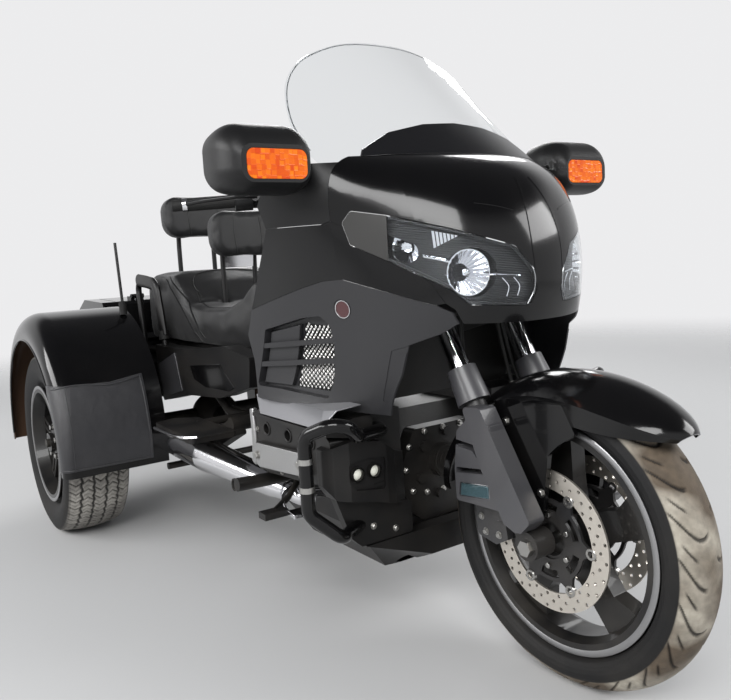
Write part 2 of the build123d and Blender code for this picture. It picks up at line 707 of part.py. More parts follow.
def trunk_lid():
    """Flat lid on two pairs of hinge knuckles at its front edge."""
    lid = trunk_hole(0) & trunk_skin(14)
    for y in (-200, 200):
        lid = lid - block((HINGE_X - 16, HINGE_X + 30), (y - 14, y + 14), (760, 830))
        for low, high in ((y - 26, y - 9.6), (y + 9.6, y + 26)):
            leaf = block((HINGE_X - 46, HINGE_X), (low, high), (782, HINGE_Z))
            knuckle = leaf + rod((HINGE_X, low, HINGE_Z), (HINGE_X, high, HINGE_Z), KNUCKLE_R)
            lid = lid + knuckle
    return lid - rod((HINGE_X, -300, HINGE_Z), (HINGE_X, 300, HINGE_Z), HINGE_R + RUN_FIT)


# Fairing master: one smooth body that the nose, lamps, shoulders and side panels are cut from.
# Columns: height, nose x, quarter x and y, shoulder x and y, rear x and y
FAIRING_SECTIONS = [
    (560, -52, -190, 212, -330, 286, -700, 366),
    (770, -54, -165, 226, -330, 310, -700, 384),
    (880, -40, -160, 230, -330, 326, -700, 380),
    (990, -66, -182, 238, -330, 342, -700, 372),
    (1070, -122, -226, 240, -336, 347, -700, 366),
    (1124, -228, -294, 226, -350, 338, -700, 360),
]


def tangent_bulge(start, end, heading):
    """The middle of the arc from start to end that leaves start along heading, and its last
    heading. Points and headings are complex numbers."""
    chord = end - start
    swing = (math.atan2(heading.imag, heading.real) - math.atan2(chord.imag, chord.real)
             + math.pi) % (2 * math.pi) - math.pi
    middle = start + chord / 2 * (1 + 1j * math.tan(swing / 2))
    last = chord / abs(chord) * complex(math.cos(swing), -math.sin(swing))
    return middle, last


def fairing_section(row, inset):
    """A closed slice of five smooth arcs and a straight back, moved inward by inset."""
    z, nose, quarter_x, quarter_y, shoulder_x, shoulder_y, rear_x, rear_y = row
    sag = nose - quarter_x
    radius = (quarter_y ** 2 + sag ** 2) / (2 * sag)
    quarter, shoulder = complex(quarter_x, quarter_y), complex(shoulder_x, shoulder_y)
    rear = complex(rear_x, rear_y)
    heading = 1j * (quarter - (nose - radius)) / radius
    middle_a, heading_s = tangent_bulge(quarter, shoulder, heading)
    middle_b, heading_r = tangent_bulge(shoulder, rear, heading_s)
    _, heading_a = tangent_bulge(quarter, middle_a, heading)
    _, heading_b = tangent_bulge(shoulder, middle_b, heading_s)
    inward = 1j * inset
    line = [quarter + inward * heading, middle_a + inward * heading_a,
            shoulder + inward * heading_s, middle_b + inward * heading_b, rear + inward * heading_r]
    left = [(p.real, p.imag, z) for p in line]
    right = [(p.real, -p.imag, z) for p in line]
    edges = [ThreePointArc(right[0], (nose - inset, 0, z), left[0])]
    edges += [ThreePointArc(*left[0:3]), ThreePointArc(*left[2:5]), Line(left[4], right[4])]
    edges += [ThreePointArc(*reversed(right[2:5])), ThreePointArc(*reversed(right[0:3]))]
    return make_face(edges)


@lru_cache
def fairing_body(inset):
    return loft([fairing_section(row, inset) for row in FAIRING_SECTIONS])


@lru_cache
def fairing_core(inset):
    """The inside of the fairing, carried on past its top and bottom."""
    low = extrude(fairing_section(FAIRING_SECTIONS[0], inset), amount=60, dir=(0, 0, -1))
    top = extrude(fairing_section(FAIRING_SECTIONS[-1], inset), amount=60, dir=(0, 0, 1))
    return fairing_body(inset) + low + top


@lru_cache
def skin(outer, inner):
    """A layer of the fairing between two depths."""
    return fairing_body(outer) - fairing_core(inner)


def side_face(points, gap=0.0, radius=0):
    """A side-view outline on the Y = -1 plane, less half a gap all round."""
    face = make_face(outline([(x, -1, z) for x, z in points], radius).edges())
    return offset(face, amount=-gap / 2) if gap else face


def side_prism(face):
    return extrude(face, amount=520, dir=(0, -1, 0))


def cut_panel(points, outer=0.0, inner=PANEL_T, gap=PANEL_GAP, radius=0):
    """The right-hand part of a layer of the fairing inside a side-view outline."""
    return skin(outer, inner) & side_prism(side_face(points, gap, radius))


# Borders between the panels, as side-view (x, z) corners
LAMP_FOOT = [(-114, 768), (-120, 797), (-132, 810), (-150, 850), (-245, 940), (-328, 990)]
FAIRING_TOP = [(-126, 792), (-149, 808), (-224, 835), (-327, 868), (-376, 865), (-456, 847),
               (-646, 801)]
COWL_BACK = (-328, 1124)
STAY_FOOT = [(-328, 990), (-350, 985), (-503, 986)]
NOSE_CHIN_Z = 764

# Lamp outline in the lamp plane: distance back along the plane, height
LAMP_ORIGIN = (-48, -40)
LAMP_ALONG = (-0.687, -0.726)
LAMP_EDGE = [(-6, 826), (9, 797), (129, 805), (164, 837), (287, 899), (372, 939), (387, 985),
             (367, 1008), (292, 994), (162, 960), (36, 919), (-3, 867)]
LAMP_SPLIT = 290
LENS_T = 3.5


def lamp_plane(out):
    across = (-LAMP_ALONG[1], LAMP_ALONG[0])
    origin = (LAMP_ORIGIN[0] + across[0] * out, LAMP_ORIGIN[1] + across[1] * out, 0)
    return Plane(origin=origin, x_dir=(*LAMP_ALONG, 0), z_dir=(-across[0], -across[1], 0))


def lamp_prism(grow):
    """The lamp's outline carried through the fairing."""
    face = make_face(outline([(u, z, 0) for u, z in LAMP_EDGE], 9).edges())
    if grow:
        face = offset(face, amount=grow)
    return lamp_plane(90) * extrude(face, 260)


def lamp_half(front):
    """The side of the lamp ahead of or behind its split."""
    low, high = (-60, LAMP_SPLIT - 0.5) if front else (LAMP_SPLIT + 0.5, 460)
    return lamp_plane(90) * extrude(Pos((low + high) / 2, 900) * Rectangle(high - low, 400), 260)


@lru_cache
def nose_cowl():
    """Gloss front shell round both lamps, with the chin under them."""
    points = [(20, 1130), COWL_BACK] + LAMP_FOOT[::-1] + [(-60, NOSE_CHIN_Z), (20, NOSE_CHIN_Z)]
    points[1] = (COWL_BACK[0], 1130)
    points[0] = (20, 1130)
    band = side_slab(points, (-520, 520))
    shell = (skin(0, PANEL_T) & band) - both(lamp_prism(0.5))
    return shell


def headlight_lenses():
    return both(skin(0, LENS_T) & lamp_prism(-0.5) & lamp_half(True))


def lamp_corners():
    return both(skin(0, LENS_T) & lamp_prism(-0.5) & lamp_half(False))


BOWL_CENTRE = (-104, -156, 870)
BOWL_R = 50
SIGNAL_RUN = [(-208, -226, 916), (-246, -262, 930)]


@lru_cache
def headlight_housings():
    """Lamp body behind each lens, with a round bowl and a long signal trough."""
    body = skin(LENS_T + SEAT_GAP, 64) & lamp_prism(-1.5)
    hollow = skin(0, 14) & lamp_prism(-7)
    body = body - hollow - Pos(*BOWL_CENTRE) * Sphere(BOWL_R) - rod(*SIGNAL_RUN, 26)
    body = body - Pos(*SIGNAL_RUN[0]) * Sphere(26) - Pos(*SIGNAL_RUN[1]) * Sphere(26)
    return both(body - block((-400, 0), (-26, 200), (700, 1100)))


def fairing_stay():
    """Bracket from the head tube, between the fork tubes, to the lamps and the nose."""
    nose_bar = side_slab([(-340, 876), (-336, 834), (-130, 822), (-44, 832), (-44, 868)], (-22, 22))
    cross = block((-190, -160), (-140, 140), (830, 868))
    stay = (nose_bar + cross) & fairing_body(PANEL_T)
    return stay - frame_spars() - headlight_housings()


def fairing_shoulders():
    """Satin panel between the lamp, the mirror stay and the side fairing."""
    points = LAMP_FOOT[2:] + STAY_FOOT[1:] + [(-589, 884)] + FAIRING_TOP[::-1][:-1]
    return both(cut_panel(points) - lamp_prism(0.5))


SIDE_EDGE = [(-121, 768), (-151, 747), (-203, 726), (-222, 663), (-244, 620), (-267, 571),
             (-347, 575), (-483, 578), (-669, 581), (-665, 677), (-676, 738)]
LOUVRE = [(-604, 753), (-462, 784), (-407, 789), (-383, 769), (-381, 725), (-397, 646),
          (-416, 600), (-571, 611), (-664, 612)]
LOUVRE_DEPTH = 22
# Louvre blades: rear (x, z), front (x, z)
BLADES = [((-632, 706), (-376, 730)), ((-652, 660), (-386, 683))]
BLADE_T = 12
CREASE = [(-166, 724), (-226, 706), (-244, 650), (-262, 602), (-272, 604), (-254, 654), (-236, 716),
          (-168, 736)]
BADGE = (-339, 804)
BADGE_R = 22


def side_fairings():
    """Matt side panel: framed louvre with two blades, a crease along its nose and a round seat."""
    hole = side_face(LOUVRE, 0, 8)
    ribs = side_face(LOUVRE, -2 * PANEL_T, 8) - hole
    for (rear_x, rear_z), (front_x, front_z) in BLADES:
        strip = side_face([(rear_x - 30, rear_z - 3), (rear_x - 30, rear_z + BLADE_T - 3),
                           (front_x + 12, front_z + BLADE_T), (front_x + 12, front_z)])
        ribs = ribs + (strip & hole)
    badge = Plane(origin=(BADGE[0], -1, BADGE[1]), x_dir=(1, 0, 0), z_dir=(0, -1, 0)) * Circle(BADGE_R)
    panel = cut_panel(FAIRING_TOP + SIDE_EDGE[::-1]) - side_prism(hole)
    panel = panel + (skin(1, LOUVRE_DEPTH) & side_prism(ribs))
    grooves = side_prism(side_face(CREASE, 0, 3)) + side_prism(badge)
    return both(panel - (skin(-2, 1.6) & grooves))


def radiator_grilles():
    """Mesh plate behind each louvre, held on the louvre's frame."""
    grille = cut_panel(LOUVRE, LOUVRE_DEPTH + SEAT_GAP, LOUVRE_DEPTH + 4, -8)
    return both(grille)


def wind_wall():
    """Black inner wall behind the fork, between the side panels."""
    wall = front_slab([(-268, 566), (-276, 770), (276, 770), (268, 566)], (-452, -444), 20)
    wall = wall & fairing_body(LOUVRE_DEPTH + 4 + SEAT_GAP)
    return wall - frame_spars() - engine_block() - fairing_stay()


def radiators():
    """A cooler behind each grille with its stay to the spar."""
    core = side_slab([(-640, 612), (-588, 742), (-410, 772), (-400, 612)], (-300, -258))
    core = core & fairing_body(LOUVRE_DEPTH + 4 + SEAT_GAP)
    stay = block((-560, -500), (-290, -70), (640, 660))
    return both((core + stay) - frame_spars()) + wind_wall()



# Windshield: height, centre x, set-back of the edge, at half width SCREEN_HALF
SCREEN = [(1104, -212, 142), (1229, -346, 170), (1320, -446, 156), (1448, -586, 112)]
SCREEN_HALF = 333
SCREEN_T = 4


def screen_section(z, centre, sag, inset, thick, half=SCREEN_HALF):
    """A thin crescent: the sheet's slice at one height."""
    sag = sag * (half / SCREEN_HALF) ** 2
    front, back = centre - inset, centre - inset - thick
    edges = [
        ThreePointArc((front - sag, -half, z), (front, 0, z), (front - sag, half, z)),
        Line((front - sag, half, z), (back - sag, half, z)),
        ThreePointArc((back - sag, half, z), (back, 0, z), (back - sag, -half, z)),
        Line((back - sag, -half, z), (front - sag, -half, z)),
    ]
    return make_face(edges)


def screen_sheet(inset, thick):
    return loft([screen_section(*row, inset, thick) for row in SCREEN])


# Front-view outline of the screen's right edge: (y, z) ends and middles of its arcs
SCREEN_FOOT = [(-331, 1106), (-333, 1140)]
SCREEN_ARCS = [(-333, 1140), (-322, 1226), (-298, 1306), (-262, 1361), (-212, 1399), (-118, 1433),
               (0, 1442)]


def windshield():
    """Clear curved sheet with a rounded top, seated in the cowl's top edge."""
    right = [(-900, y, z) for y, z in SCREEN_ARCS]
    left = [(-900, -y, z) for y, z in SCREEN_ARCS]
    foot_right, foot_left = (-900, *SCREEN_FOOT[0]), (-900, -SCREEN_FOOT[0][0], SCREEN_FOOT[0][1])
    edges = [Line(foot_left, foot_right), Line(foot_right, right[0]), Line(left[0], foot_left)]
    for side in (right, left):
        for first in (0, 2, 4):
            edges.append(ThreePointArc(*side[first:first + 3]))
    shape = extrude(make_face(edges), amount=800, dir=(1, 0, 0))
    return (screen_sheet(SEAT_GAP, 7) & shape) - nose_cowl()


GARNISH_FRONT = [(-262, 1124 + SEAT_GAP), (-250, 1140), (-180, 1178), (-90, 1198), (0, 1204)]


def windshield_garnish():
    """Dark trim along the foot of the screen."""
    points = GARNISH_FRONT + [(-y, z) for y, z in GARNISH_FRONT[-2::-1]]
    shape = front_slab(points, (-900, -100))
    return screen_sheet(-5, 5) & shape


# Mirrors: station, low y, high y, low z, high z
MIRROR_SECTIONS = [
    (-318, 388, 540, 1068, 1142),
    (-340, 374, 558, 1054, 1172),
    (-404, 367, 566, 1050, 1190),
    (-452, 373, 560, 1058, 1184),
]
SIGNAL_BOX = (394, 528, 1075, 1133)


def mirror_body(grow=0):
    faces = []
    for x, y_low, y_high, z_low, z_high in MIRROR_SECTIONS:
        size = (y_high - y_low + 2 * grow, z_high - z_low + 2 * grow)
        radius = min(size) * 0.36
        plane = Plane(origin=(x, -(y_low + y_high) / 2, (z_low + z_high) / 2), x_dir=(0, 1, 0),
                      z_dir=(1, 0, 0))
        faces.append(plane * RectangleRounded(*size, radius))
    return loft(faces) - fairing_body(-0.3)


def signal_recess(grow):
    y_low, y_high, z_low, z_high = SIGNAL_BOX
    box = block((-338 - grow, -300), (-y_high - grow, -y_low + grow), (z_low - grow, z_high + grow))
    return fillet(box.edges().filter_by(Axis.X), 16 + grow)


def mirror_housings():
    body = mirror_body() - signal_recess(1)
    plane = Plane(origin=(-452, -466.5, 1121), x_dir=(0, 1, 0), z_dir=(1, 0, 0))
    body = body - plane * extrude(RectangleRounded(170, 110, 38), 6)
    return both(body)


def mirror_signals():
    return both(mirror_body(2) & signal_recess(0) & block((-337.7, -300), (-600, -300), (1000, 1200)))


def mirror_glass():
    plane = Plane(origin=(-450, -466.5, 1121), x_dir=(0, 1, 0), z_dir=(1, 0, 0))
    glass = plane * extrude(RectangleRounded(168, 108, 37), 3.7)
    return both(glass - fairing_body(-1))


def mirror_stays():
    """Upper side panel with the arm that carries the mirror."""
    panel = cut_panel([(-328, 1112)] + STAY_FOOT + [(-512, 1036), (-452, 1084), (-404, 1112)])
    arm = block((-436, -364), (-372, -338), (1066, 1106)) - mirror_body()
    return both(panel + (arm - fairing_core(2)))


def dash_panel():
    """Instrument hood and face under the screen."""
    points = [(-250, 1096), (-330, 1106), (-352, 1090), (-362, 1036), (-350, 1034), (-341, 1082),
              (-326, 1094), (-250, 1084)]
    panel = side_slab(points, (-346, 346)) & fairing_body(PANEL_T + SEAT_GAP)
    return panel - screen_sheet(-2, 14)


TANK_SECTIONS = [(-545, 150, 700, 940), (-640, 172, 690, 938), (-880, 168, 640, 905),
                 (-1040, 118, 640, 884), (-1094, 88, 660, 862)]


def top_shelter():
    """Tank cover between the rider's knees with the wide shelf behind the bars."""
    faces = []
    for x, half, low, high in TANK_SECTIONS:
        plane = Plane(origin=(x, 0, (low + high) / 2), x_dir=(0, 1, 0), z_dir=(1, 0, 0))
        faces.append(plane * RectangleRounded(2 * half, high - low, 50))
    tank = loft(faces)
    shelf = side_slab([(-512, 930), (-512, 972), (-560, 976), (-600, 905), (-640, 800), (-652, 800),
                       (-625, 880), (-585, 930)], (-400, 400))
    shelf = shelf & fairing_body(PANEL_T + SEAT_GAP)
    cap = Pos(-800, 0, 900) * Cylinder(46, 50)
    return (tank + shelf + cap) - frame_spars()


# Seat, backrests, rails and covers
SEAT_SIDE = [(-1036, 700), (-1098, 856), (-1130, 866), (-1180, 812), (-1270, 772), (-1420, 768),
             (-1500, 790), (-1560, 860), (-1608, 900), (-1700, 892), (-1830, 897), (-1960, 850),
             (-1980, 790), (-1960, 690), (-1890, 640), (-1100, 640)]
SEAT_PLAN = [(-1030, 86), (-1160, 150), (-1300, 188), (-1560, 205), (-1900, 200), (-1980, 150),
             (-1980, 0), (-1030, 0)]


def seat():
    """Stepped two-place saddle, as a plain solid."""
    side = side_slab(SEAT_SIDE, (-240, 240), 12)
    plan = plan_slab(SEAT_PLAN, (600, 920))
    body = side & both(plan)
    for x, y, r in ((-1490, 62, 11), (-1862, 72, 11)):
        for side_sign in (-1, 1):
            body = body - Pos(x, side_sign * y, 800) * Cylinder(r + 1, 400)
    return body - top_shelter()


def seat_pan():
    """Moulded base that carries the seat on the rear rails, with the backrest posts' feet."""
    pan = plan_slab([(-1100, -130), (-1100, 130), (-1300, 150), (-1870, 165), (-1870, -165),
                     (-1300, -150)], (606, 639.7))
    return pan - frame_spars()


# Backrests: post x, post y, cushion x, half width, low z, high z
BACKRESTS = {"rider": (-1490, 62, -1430, 132, 934, 1098), "passenger": (-1862, 72, -1800, 156, 1018, 1180)}


def backrests():
    """Two padded rounded cushions, as plain solids."""
    cushions = None
    for _, _, x, half, low, high in BACKRESTS.values():
        plane = Plane(origin=(x - 34, 0, (low + high) / 2), x_dir=(0, 1, 0), z_dir=(1, 0, 0.08))
        cushion = plane * extrude(RectangleRounded(2 * half, high - low, 60), 62)
        cushion = fillet(cushion.edges(), 14)
        cushions = cushion if cushions is None else cushions + cushion
    return cushions


def backrest_posts():
    posts = None
    for post_x, post_y, x, half, low, high in BACKRESTS.values():
        for side in (-1, 1):
            top = (low + high) / 2
            post = tube([(post_x, side * post_y, 640), (post_x, side * post_y, low - 30),
                         (x - 52, side * post_y, top + 20)], 9, 60)
            posts = post if posts is None else posts + post
        plane = Plane(origin=(x - 48, 0, (low + high) / 2), x_dir=(0, 1, 0), z_dir=(1, 0, 0.08))
        posts = posts + plane * extrude(RectangleRounded(2 * half - 40, high - low - 40, 40), 13.6)
    return posts - seat_pan()


def grab_rails():
    rail = tube([(-1640, -150, 600), (-1640, -240, 610), (-1690, -240, 850), (-1900, -236, 868),
                 (-1862, -240, 610), (-1862, -150, 600)], 11, 32)
    return both(rail - frame_spars() - seat_pan())


SIDE_COVER = [(-1684, 489), (-1645, 437), (-1398, 485), (-1152, 504), (-936, 559), (-921, 647),
              (-1100, 668), (-1365, 640), (-1608, 636), (-1690, 640)]


def seat_rails():
    """Backrest posts with their plates, and the passenger's grab rails."""
    return backrest_posts() + grab_rails()


def side_covers():
    """Moulded cover below each side of the seat."""
    cover = side_slab(SIDE_COVER, (-262, -205), 8)
    inner = side_slab([(-1670, 500), (-1640, 452), (-1398, 497), (-1152, 516), (-948, 566),
                       (-935, 640), (-1600, 625)], (-256, -200), 6)
    cover = cover - inner
    lug = rod((-1300, -140, 600), (-1300, -258, 600), 12) + rod((-1560, -140, 600), (-1560, -258, 600), 12)
    return both((cover + lug) - frame_spars() - grab_rails())


# Tail: lamps, valance, plate bracket, bras, antenna
def tail_lamps():
    lamp = front_slab([(-640, 540), (-640, 610), (-520, 630), (-430, 620), (-430, 540)],
                      (-2246, -2160), 14)
    return both(lamp - fender_body(0))


def rear_bumper():
    """Cross beam under the trunk with the plate bracket."""
    beam = front_slab([(-340, 350), (-340, 430), (340, 430), (340, 350)], (TAIL_X, -2345), 20)
    return beam - trunk_outer()


BRA_T = 4


def fender_bras():
    """Stitched vinyl guard wrapped round the front of each rear fender."""
    band = front_slab([(-700, 300), (-402, 298), (-402, 574), (-510, 560), (-700, 566)],
                      (-1510, -1380))
    return both((fender_body(-BRA_T) & band) - fender_body(0))


def antenna():
    mast = rod((-1660, -376, 796), (-1684, -376, 1010), 5)
    foot = rod((-1660, -376, 760), (-1660, -376, 806), 13)
    return (mast + foot) - fender_body(0)


if __name__ == "__main__":
    pieces = {
        "front_rim": front_rim, "front_tyre": front_tyre, "brake_discs": brake_discs,
        "rear_rim_right": lambda: rear_rim(-1), "rear_rim_left": lambda: rear_rim(1),
        "rear_tyre_right": lambda: rear_tyre(-1), "rear_tyre_left": lambda: rear_tyre(1),
        "fork_sliders": fork_sliders, "fork_tubes": fork_tubes, "triple_clamps": triple_clamps,
        "handlebar": handlebar, "grips": grips, "hand_controls": hand_controls,
        "fork_covers": fork_covers, "front_axle": front_axle, "brake_calipers": brake_calipers,
        "front_fender": front_fender, "frame_spars": frame_spars, "engine_block": engine_block,
        "cylinder_head_covers": cylinder_head_covers, "timing_cover": timing_cover,
        "belly_cowl": belly_cowl, "lamp_pods": lamp_pods, "fog_lamps": fog_lamps,
        "engine_guards": engine_guards, "exhaust_system": exhaust_system,
        "foot_rests": foot_rests,
        "rear_axle": rear_axle, "rear_links": rear_links, "rear_fender_right": rear_fender,
        "rear_fender_left": lambda: flip(rear_fender()), "trunk_body": trunk_body,
        "trunk_lid": trunk_lid, "nose_cowl": nose_cowl, "headlight_lenses": headlight_lenses,
        "lamp_corners": lamp_corners, "headlight_housings": headlight_housings,
        "fairing_stay": fairing_stay, "fairing_shoulders": fairing_shoulders,
        "side_fairings": side_fairings, "radiator_grilles": radiator_grilles,
        "radiators": radiators, "windshield": windshield, "windshield_garnish": windshield_garnish,
        "mirror_housings": mirror_housings, "mirror_signals": mirror_signals,
        "mirror_glass": mirror_glass, "mirror_stays": mirror_stays, "dash_panel": dash_panel,
        "top_shelter": top_shelter, "seat": seat, "seat_pan": seat_pan,
        "backrests": backrests, "seat_rails": seat_rails, "side_covers": side_covers, "tail_lamps": tail_lamps,
        "rear_bumper": rear_bumper, "fender_bras": fender_bras, "antenna": antenna,
    }
    for node, make in pieces.items():
        shape = make()
        print(node, round(shape.volume / 1000), len(shape.solids()))
        save(node, shape)
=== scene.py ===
"""Dressed model of the motorized trike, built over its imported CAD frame."""
import math

import bmesh
import bpy
import numpy as np
from mathutils import Matrix, Vector
from mathutils.bvhtree import BVHTree


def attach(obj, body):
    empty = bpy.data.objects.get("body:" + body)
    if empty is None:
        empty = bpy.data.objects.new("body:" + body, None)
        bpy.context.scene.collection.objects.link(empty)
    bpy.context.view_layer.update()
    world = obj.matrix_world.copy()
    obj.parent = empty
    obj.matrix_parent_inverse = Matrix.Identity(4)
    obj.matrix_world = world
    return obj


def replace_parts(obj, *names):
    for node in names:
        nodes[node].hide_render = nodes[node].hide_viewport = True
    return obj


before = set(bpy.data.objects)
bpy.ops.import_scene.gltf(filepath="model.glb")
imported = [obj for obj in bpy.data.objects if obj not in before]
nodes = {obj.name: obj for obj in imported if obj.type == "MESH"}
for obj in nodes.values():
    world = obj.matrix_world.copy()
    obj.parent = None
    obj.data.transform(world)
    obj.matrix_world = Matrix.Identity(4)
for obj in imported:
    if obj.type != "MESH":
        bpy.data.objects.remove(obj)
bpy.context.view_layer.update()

# Camera
# It stands low beside the front wheel on the right, tilted a little, where the photo was taken.
CAMERA_PLACE = Vector((2.0645, -1.2095, 0.9129))
CAMERA_YAW = math.radians(145.434)
CAMERA_PITCH = math.radians(6.942)
CAMERA_ROLL = math.radians(-3.242)
CAMERA_LENS = 37.67

forward = Vector((math.cos(CAMERA_PITCH) * math.cos(CAMERA_YAW),
                  math.cos(CAMERA_PITCH) * math.sin(CAMERA_YAW), -math.sin(CAMERA_PITCH)))
level = Vector((math.sin(CAMERA_YAW), -math.cos(CAMERA_YAW), 0))
above = level.cross(forward)
right = level * math.cos(CAMERA_ROLL) + above * math.sin(CAMERA_ROLL)
up = above * math.cos(CAMERA_ROLL) - level * math.sin(CAMERA_ROLL)
camera_data = bpy.data.cameras.new("camera")
camera_data.sensor_width = 36
camera_data.lens = CAMERA_LENS
camera = bpy.data.objects.new("camera", camera_data)
turn = Matrix((right, up, -forward)).transposed()
camera.matrix_world = Matrix.Translation(CAMERA_PLACE) @ turn.to_4x4()
bpy.context.scene.collection.objects.link(camera)
bpy.context.scene.camera = camera
bpy.context.scene.view_settings.view_transform = "Standard"

# Studio
# A pale floor that fades into a white room, four high window-like panels and soft light from
# all round, which the gloss paint and the chrome show as long soft streaks.
FLOOR_COLOUR = (0.52, 0.52, 0.52, 1)
FLOOR_HALF = 14
FADE_FROM = 3.4
FADE_TO = 8.0
WALL_WHITE = (0.84, 0.84, 0.85, 1)
CEILING_GREY = (0.10, 0.10, 0.105, 1)
# The wall ends and the ceiling is fully dark at these heights of the line of sight's unit vector
CEILING_FROM = 0.42
CEILING_TO = 0.68
WORLD_COLOUR = (0.93, 0.96, 1, 1)
WORLD_LEVEL = 0.42
PANELS = [
    # place, aimed at, width, height, watts
    ((3.4, -3.2, 3.4), (0.2, 0.0, 0.5), 3.2, 1.6, 190),
    ((-1.2, -4.6, 2.6), (-0.2, 0.0, 0.7), 4.2, 1.4, 170),
    ((3.6, 3.2, 3.0), (0.4, 0.0, 0.7), 3.0, 1.6, 130),
    ((-3.4, 3.0, 3.6), (-0.4, 0.0, 0.6), 3.4, 1.6, 130),
]


def studio_world():
    """Even world light. What the camera, glass and gloss see of it is a white wall under a darker
    ceiling, mixed by the height of the line of sight."""
    world = bpy.data.worlds.new("studio")
    world.use_nodes = True
    tree = world.node_tree
    tree.nodes.clear()
    path = tree.nodes.new("ShaderNodeLightPath")
    seen = tree.nodes.new("ShaderNodeMath")
    seen.operation = "MAXIMUM"
    tree.links.new(path.outputs["Is Camera Ray"], seen.inputs[0])
    tree.links.new(path.outputs["Is Transmission Ray"], seen.inputs[1])
    shown = tree.nodes.new("ShaderNodeMath")
    shown.operation = "MAXIMUM"
    tree.links.new(seen.outputs[0], shown.inputs[0])
    tree.links.new(path.outputs["Is Glossy Ray"], shown.inputs[1])
    sight = tree.nodes.new("ShaderNodeTexCoord")
    height = tree.nodes.new("ShaderNodeSeparateXYZ")
    tree.links.new(sight.outputs["Generated"], height.inputs[0])
    ceiling = tree.nodes.new("ShaderNodeMapRange")
    ceiling.interpolation_type = "SMOOTHSTEP"
    ceiling.inputs["From Min"].default_value = CEILING_FROM
    ceiling.inputs["From Max"].default_value = CEILING_TO
    tree.links.new(height.outputs["Z"], ceiling.inputs["Value"])
    tone = tree.nodes.new("ShaderNodeMix")
    tone.data_type = "RGBA"
    tone.inputs["A"].default_value = WALL_WHITE
    tone.inputs["B"].default_value = CEILING_GREY
    tree.links.new(ceiling.outputs[0], tone.inputs["Factor"])
    even = tree.nodes.new("ShaderNodeBackground")
    even.inputs["Color"].default_value = WORLD_COLOUR
    even.inputs["Strength"].default_value = WORLD_LEVEL
    wall = tree.nodes.new("ShaderNodeBackground")
    tree.links.new(tone.outputs["Result"], wall.inputs["Color"])
    mix = tree.nodes.new("ShaderNodeMixShader")
    out = tree.nodes.new("ShaderNodeOutputWorld")
    tree.links.new(shown.outputs[0], mix.inputs[0])
    tree.links.new(even.outputs[0], mix.inputs[1])
    tree.links.new(wall.outputs[0], mix.inputs[2])
    tree.links.new(mix.outputs[0], out.inputs[0])
    bpy.context.scene.world = world


def light_panel(number, place, aim, width, height, watts):
    """A rectangular area light that stands at place and shines towards aim."""
    data = bpy.data.lights.new(f"panel_{number}", "AREA")
    data.shape = "RECTANGLE"
    data.size = width
    data.size_y = height
    data.energy = watts
    lamp = bpy.data.objects.new(f"panel_{number}", data)
    lamp.location = place
    lamp.rotation_euler = (Vector(aim) - Vector(place)).to_track_quat("-Z", "Y").to_euler()
    bpy.context.scene.collection.objects.link(lamp)


def studio_floor():
    """A plain floor. Its alpha falls with the distance from the middle, so no edge shows."""
    half = FLOOR_HALF
    mesh = bpy.data.meshes.new("floor")
    mesh.from_pydata([(-half, -half, 0), (half, -half, 0), (half, half, 0), (-half, half, 0)], [],
                     [(0, 1, 2, 3)])
    floor = bpy.data.objects.new("floor", mesh)
    bpy.context.scene.collection.objects.link(floor)
    material = bpy.data.materials.new("floor")
    material.use_nodes = True
    tree = material.node_tree
    shader = tree.nodes["Principled BSDF"]
    shader.inputs["Base Color"].default_value = FLOOR_COLOUR
    shader.inputs["Roughness"].default_value = 0.6
    place = tree.nodes.new("ShaderNodeTexCoord")
    reach = tree.nodes.new("ShaderNodeVectorMath")
    reach.operation = "LENGTH"
    fade = tree.nodes.new("ShaderNodeMapRange")
    fade.interpolation_type = "SMOOTHSTEP"
    fade.inputs["From Min"].default_value = FADE_FROM
    fade.inputs["From Max"].default_value = FADE_TO
    fade.inputs["To Min"].default_value = 1
    fade.inputs["To Max"].default_value = 0
    tree.links.new(place.outputs["Object"], reach.inputs[0])
    tree.links.new(reach.outputs["Value"], fade.inputs["Value"])
    tree.links.new(fade.outputs[0], shader.inputs["Alpha"])
    mesh.materials.append(material)


studio_world()
for number, panel in enumerate(PANELS):
    light_panel(number, *panel)
studio_floor()

# Nose cowl and shoulders
# One gloss black injection-moulded shell round both lamps, with a shoulder panel behind each
# lamp. Both are sprayed and lacquered, and two pressed lines run up over the nose.
PAINT_BLACK = (0.0022, 0.0022, 0.0026)
NOSE_LINES = [
    # y and z of each line's points on the right side, seen from ahead
    [(-0.066, 0.990), (-0.100, 1.000), (-0.140, 1.008)],
    [(-0.020, 1.060), (-0.034, 1.000), (-0.042, 0.930), (-0.040, 0.870)],
]
NOSE_LINE_R = 0.0016
NOSE_LINE_SINK = 0.0003
FRONT_AXLE_X = 1.030
ROAD_DUST = (0.32, 0.28, 0.23, 1)
# Rays that find a surface start this far ahead, in metres, or this far to the right
FAR_AHEAD = 2.0
FAR_RIGHT = -600


def node_group(name, inputs, outputs):
    """An empty shader group with float, colour or vector sockets, and its two end nodes."""
    group = bpy.data.node_groups.new(name, "ShaderNodeTree")
    for label, kind, value in inputs:
        socket = group.interface.new_socket(label, in_out="INPUT", socket_type=kind)
        if value is not None:
            socket.default_value = value
    for label, kind in outputs:
        group.interface.new_socket(label, in_out="OUTPUT", socket_type=kind)
    start = group.nodes.new("NodeGroupInput")
    end = group.nodes.new("NodeGroupOutput")
    return group, start, end


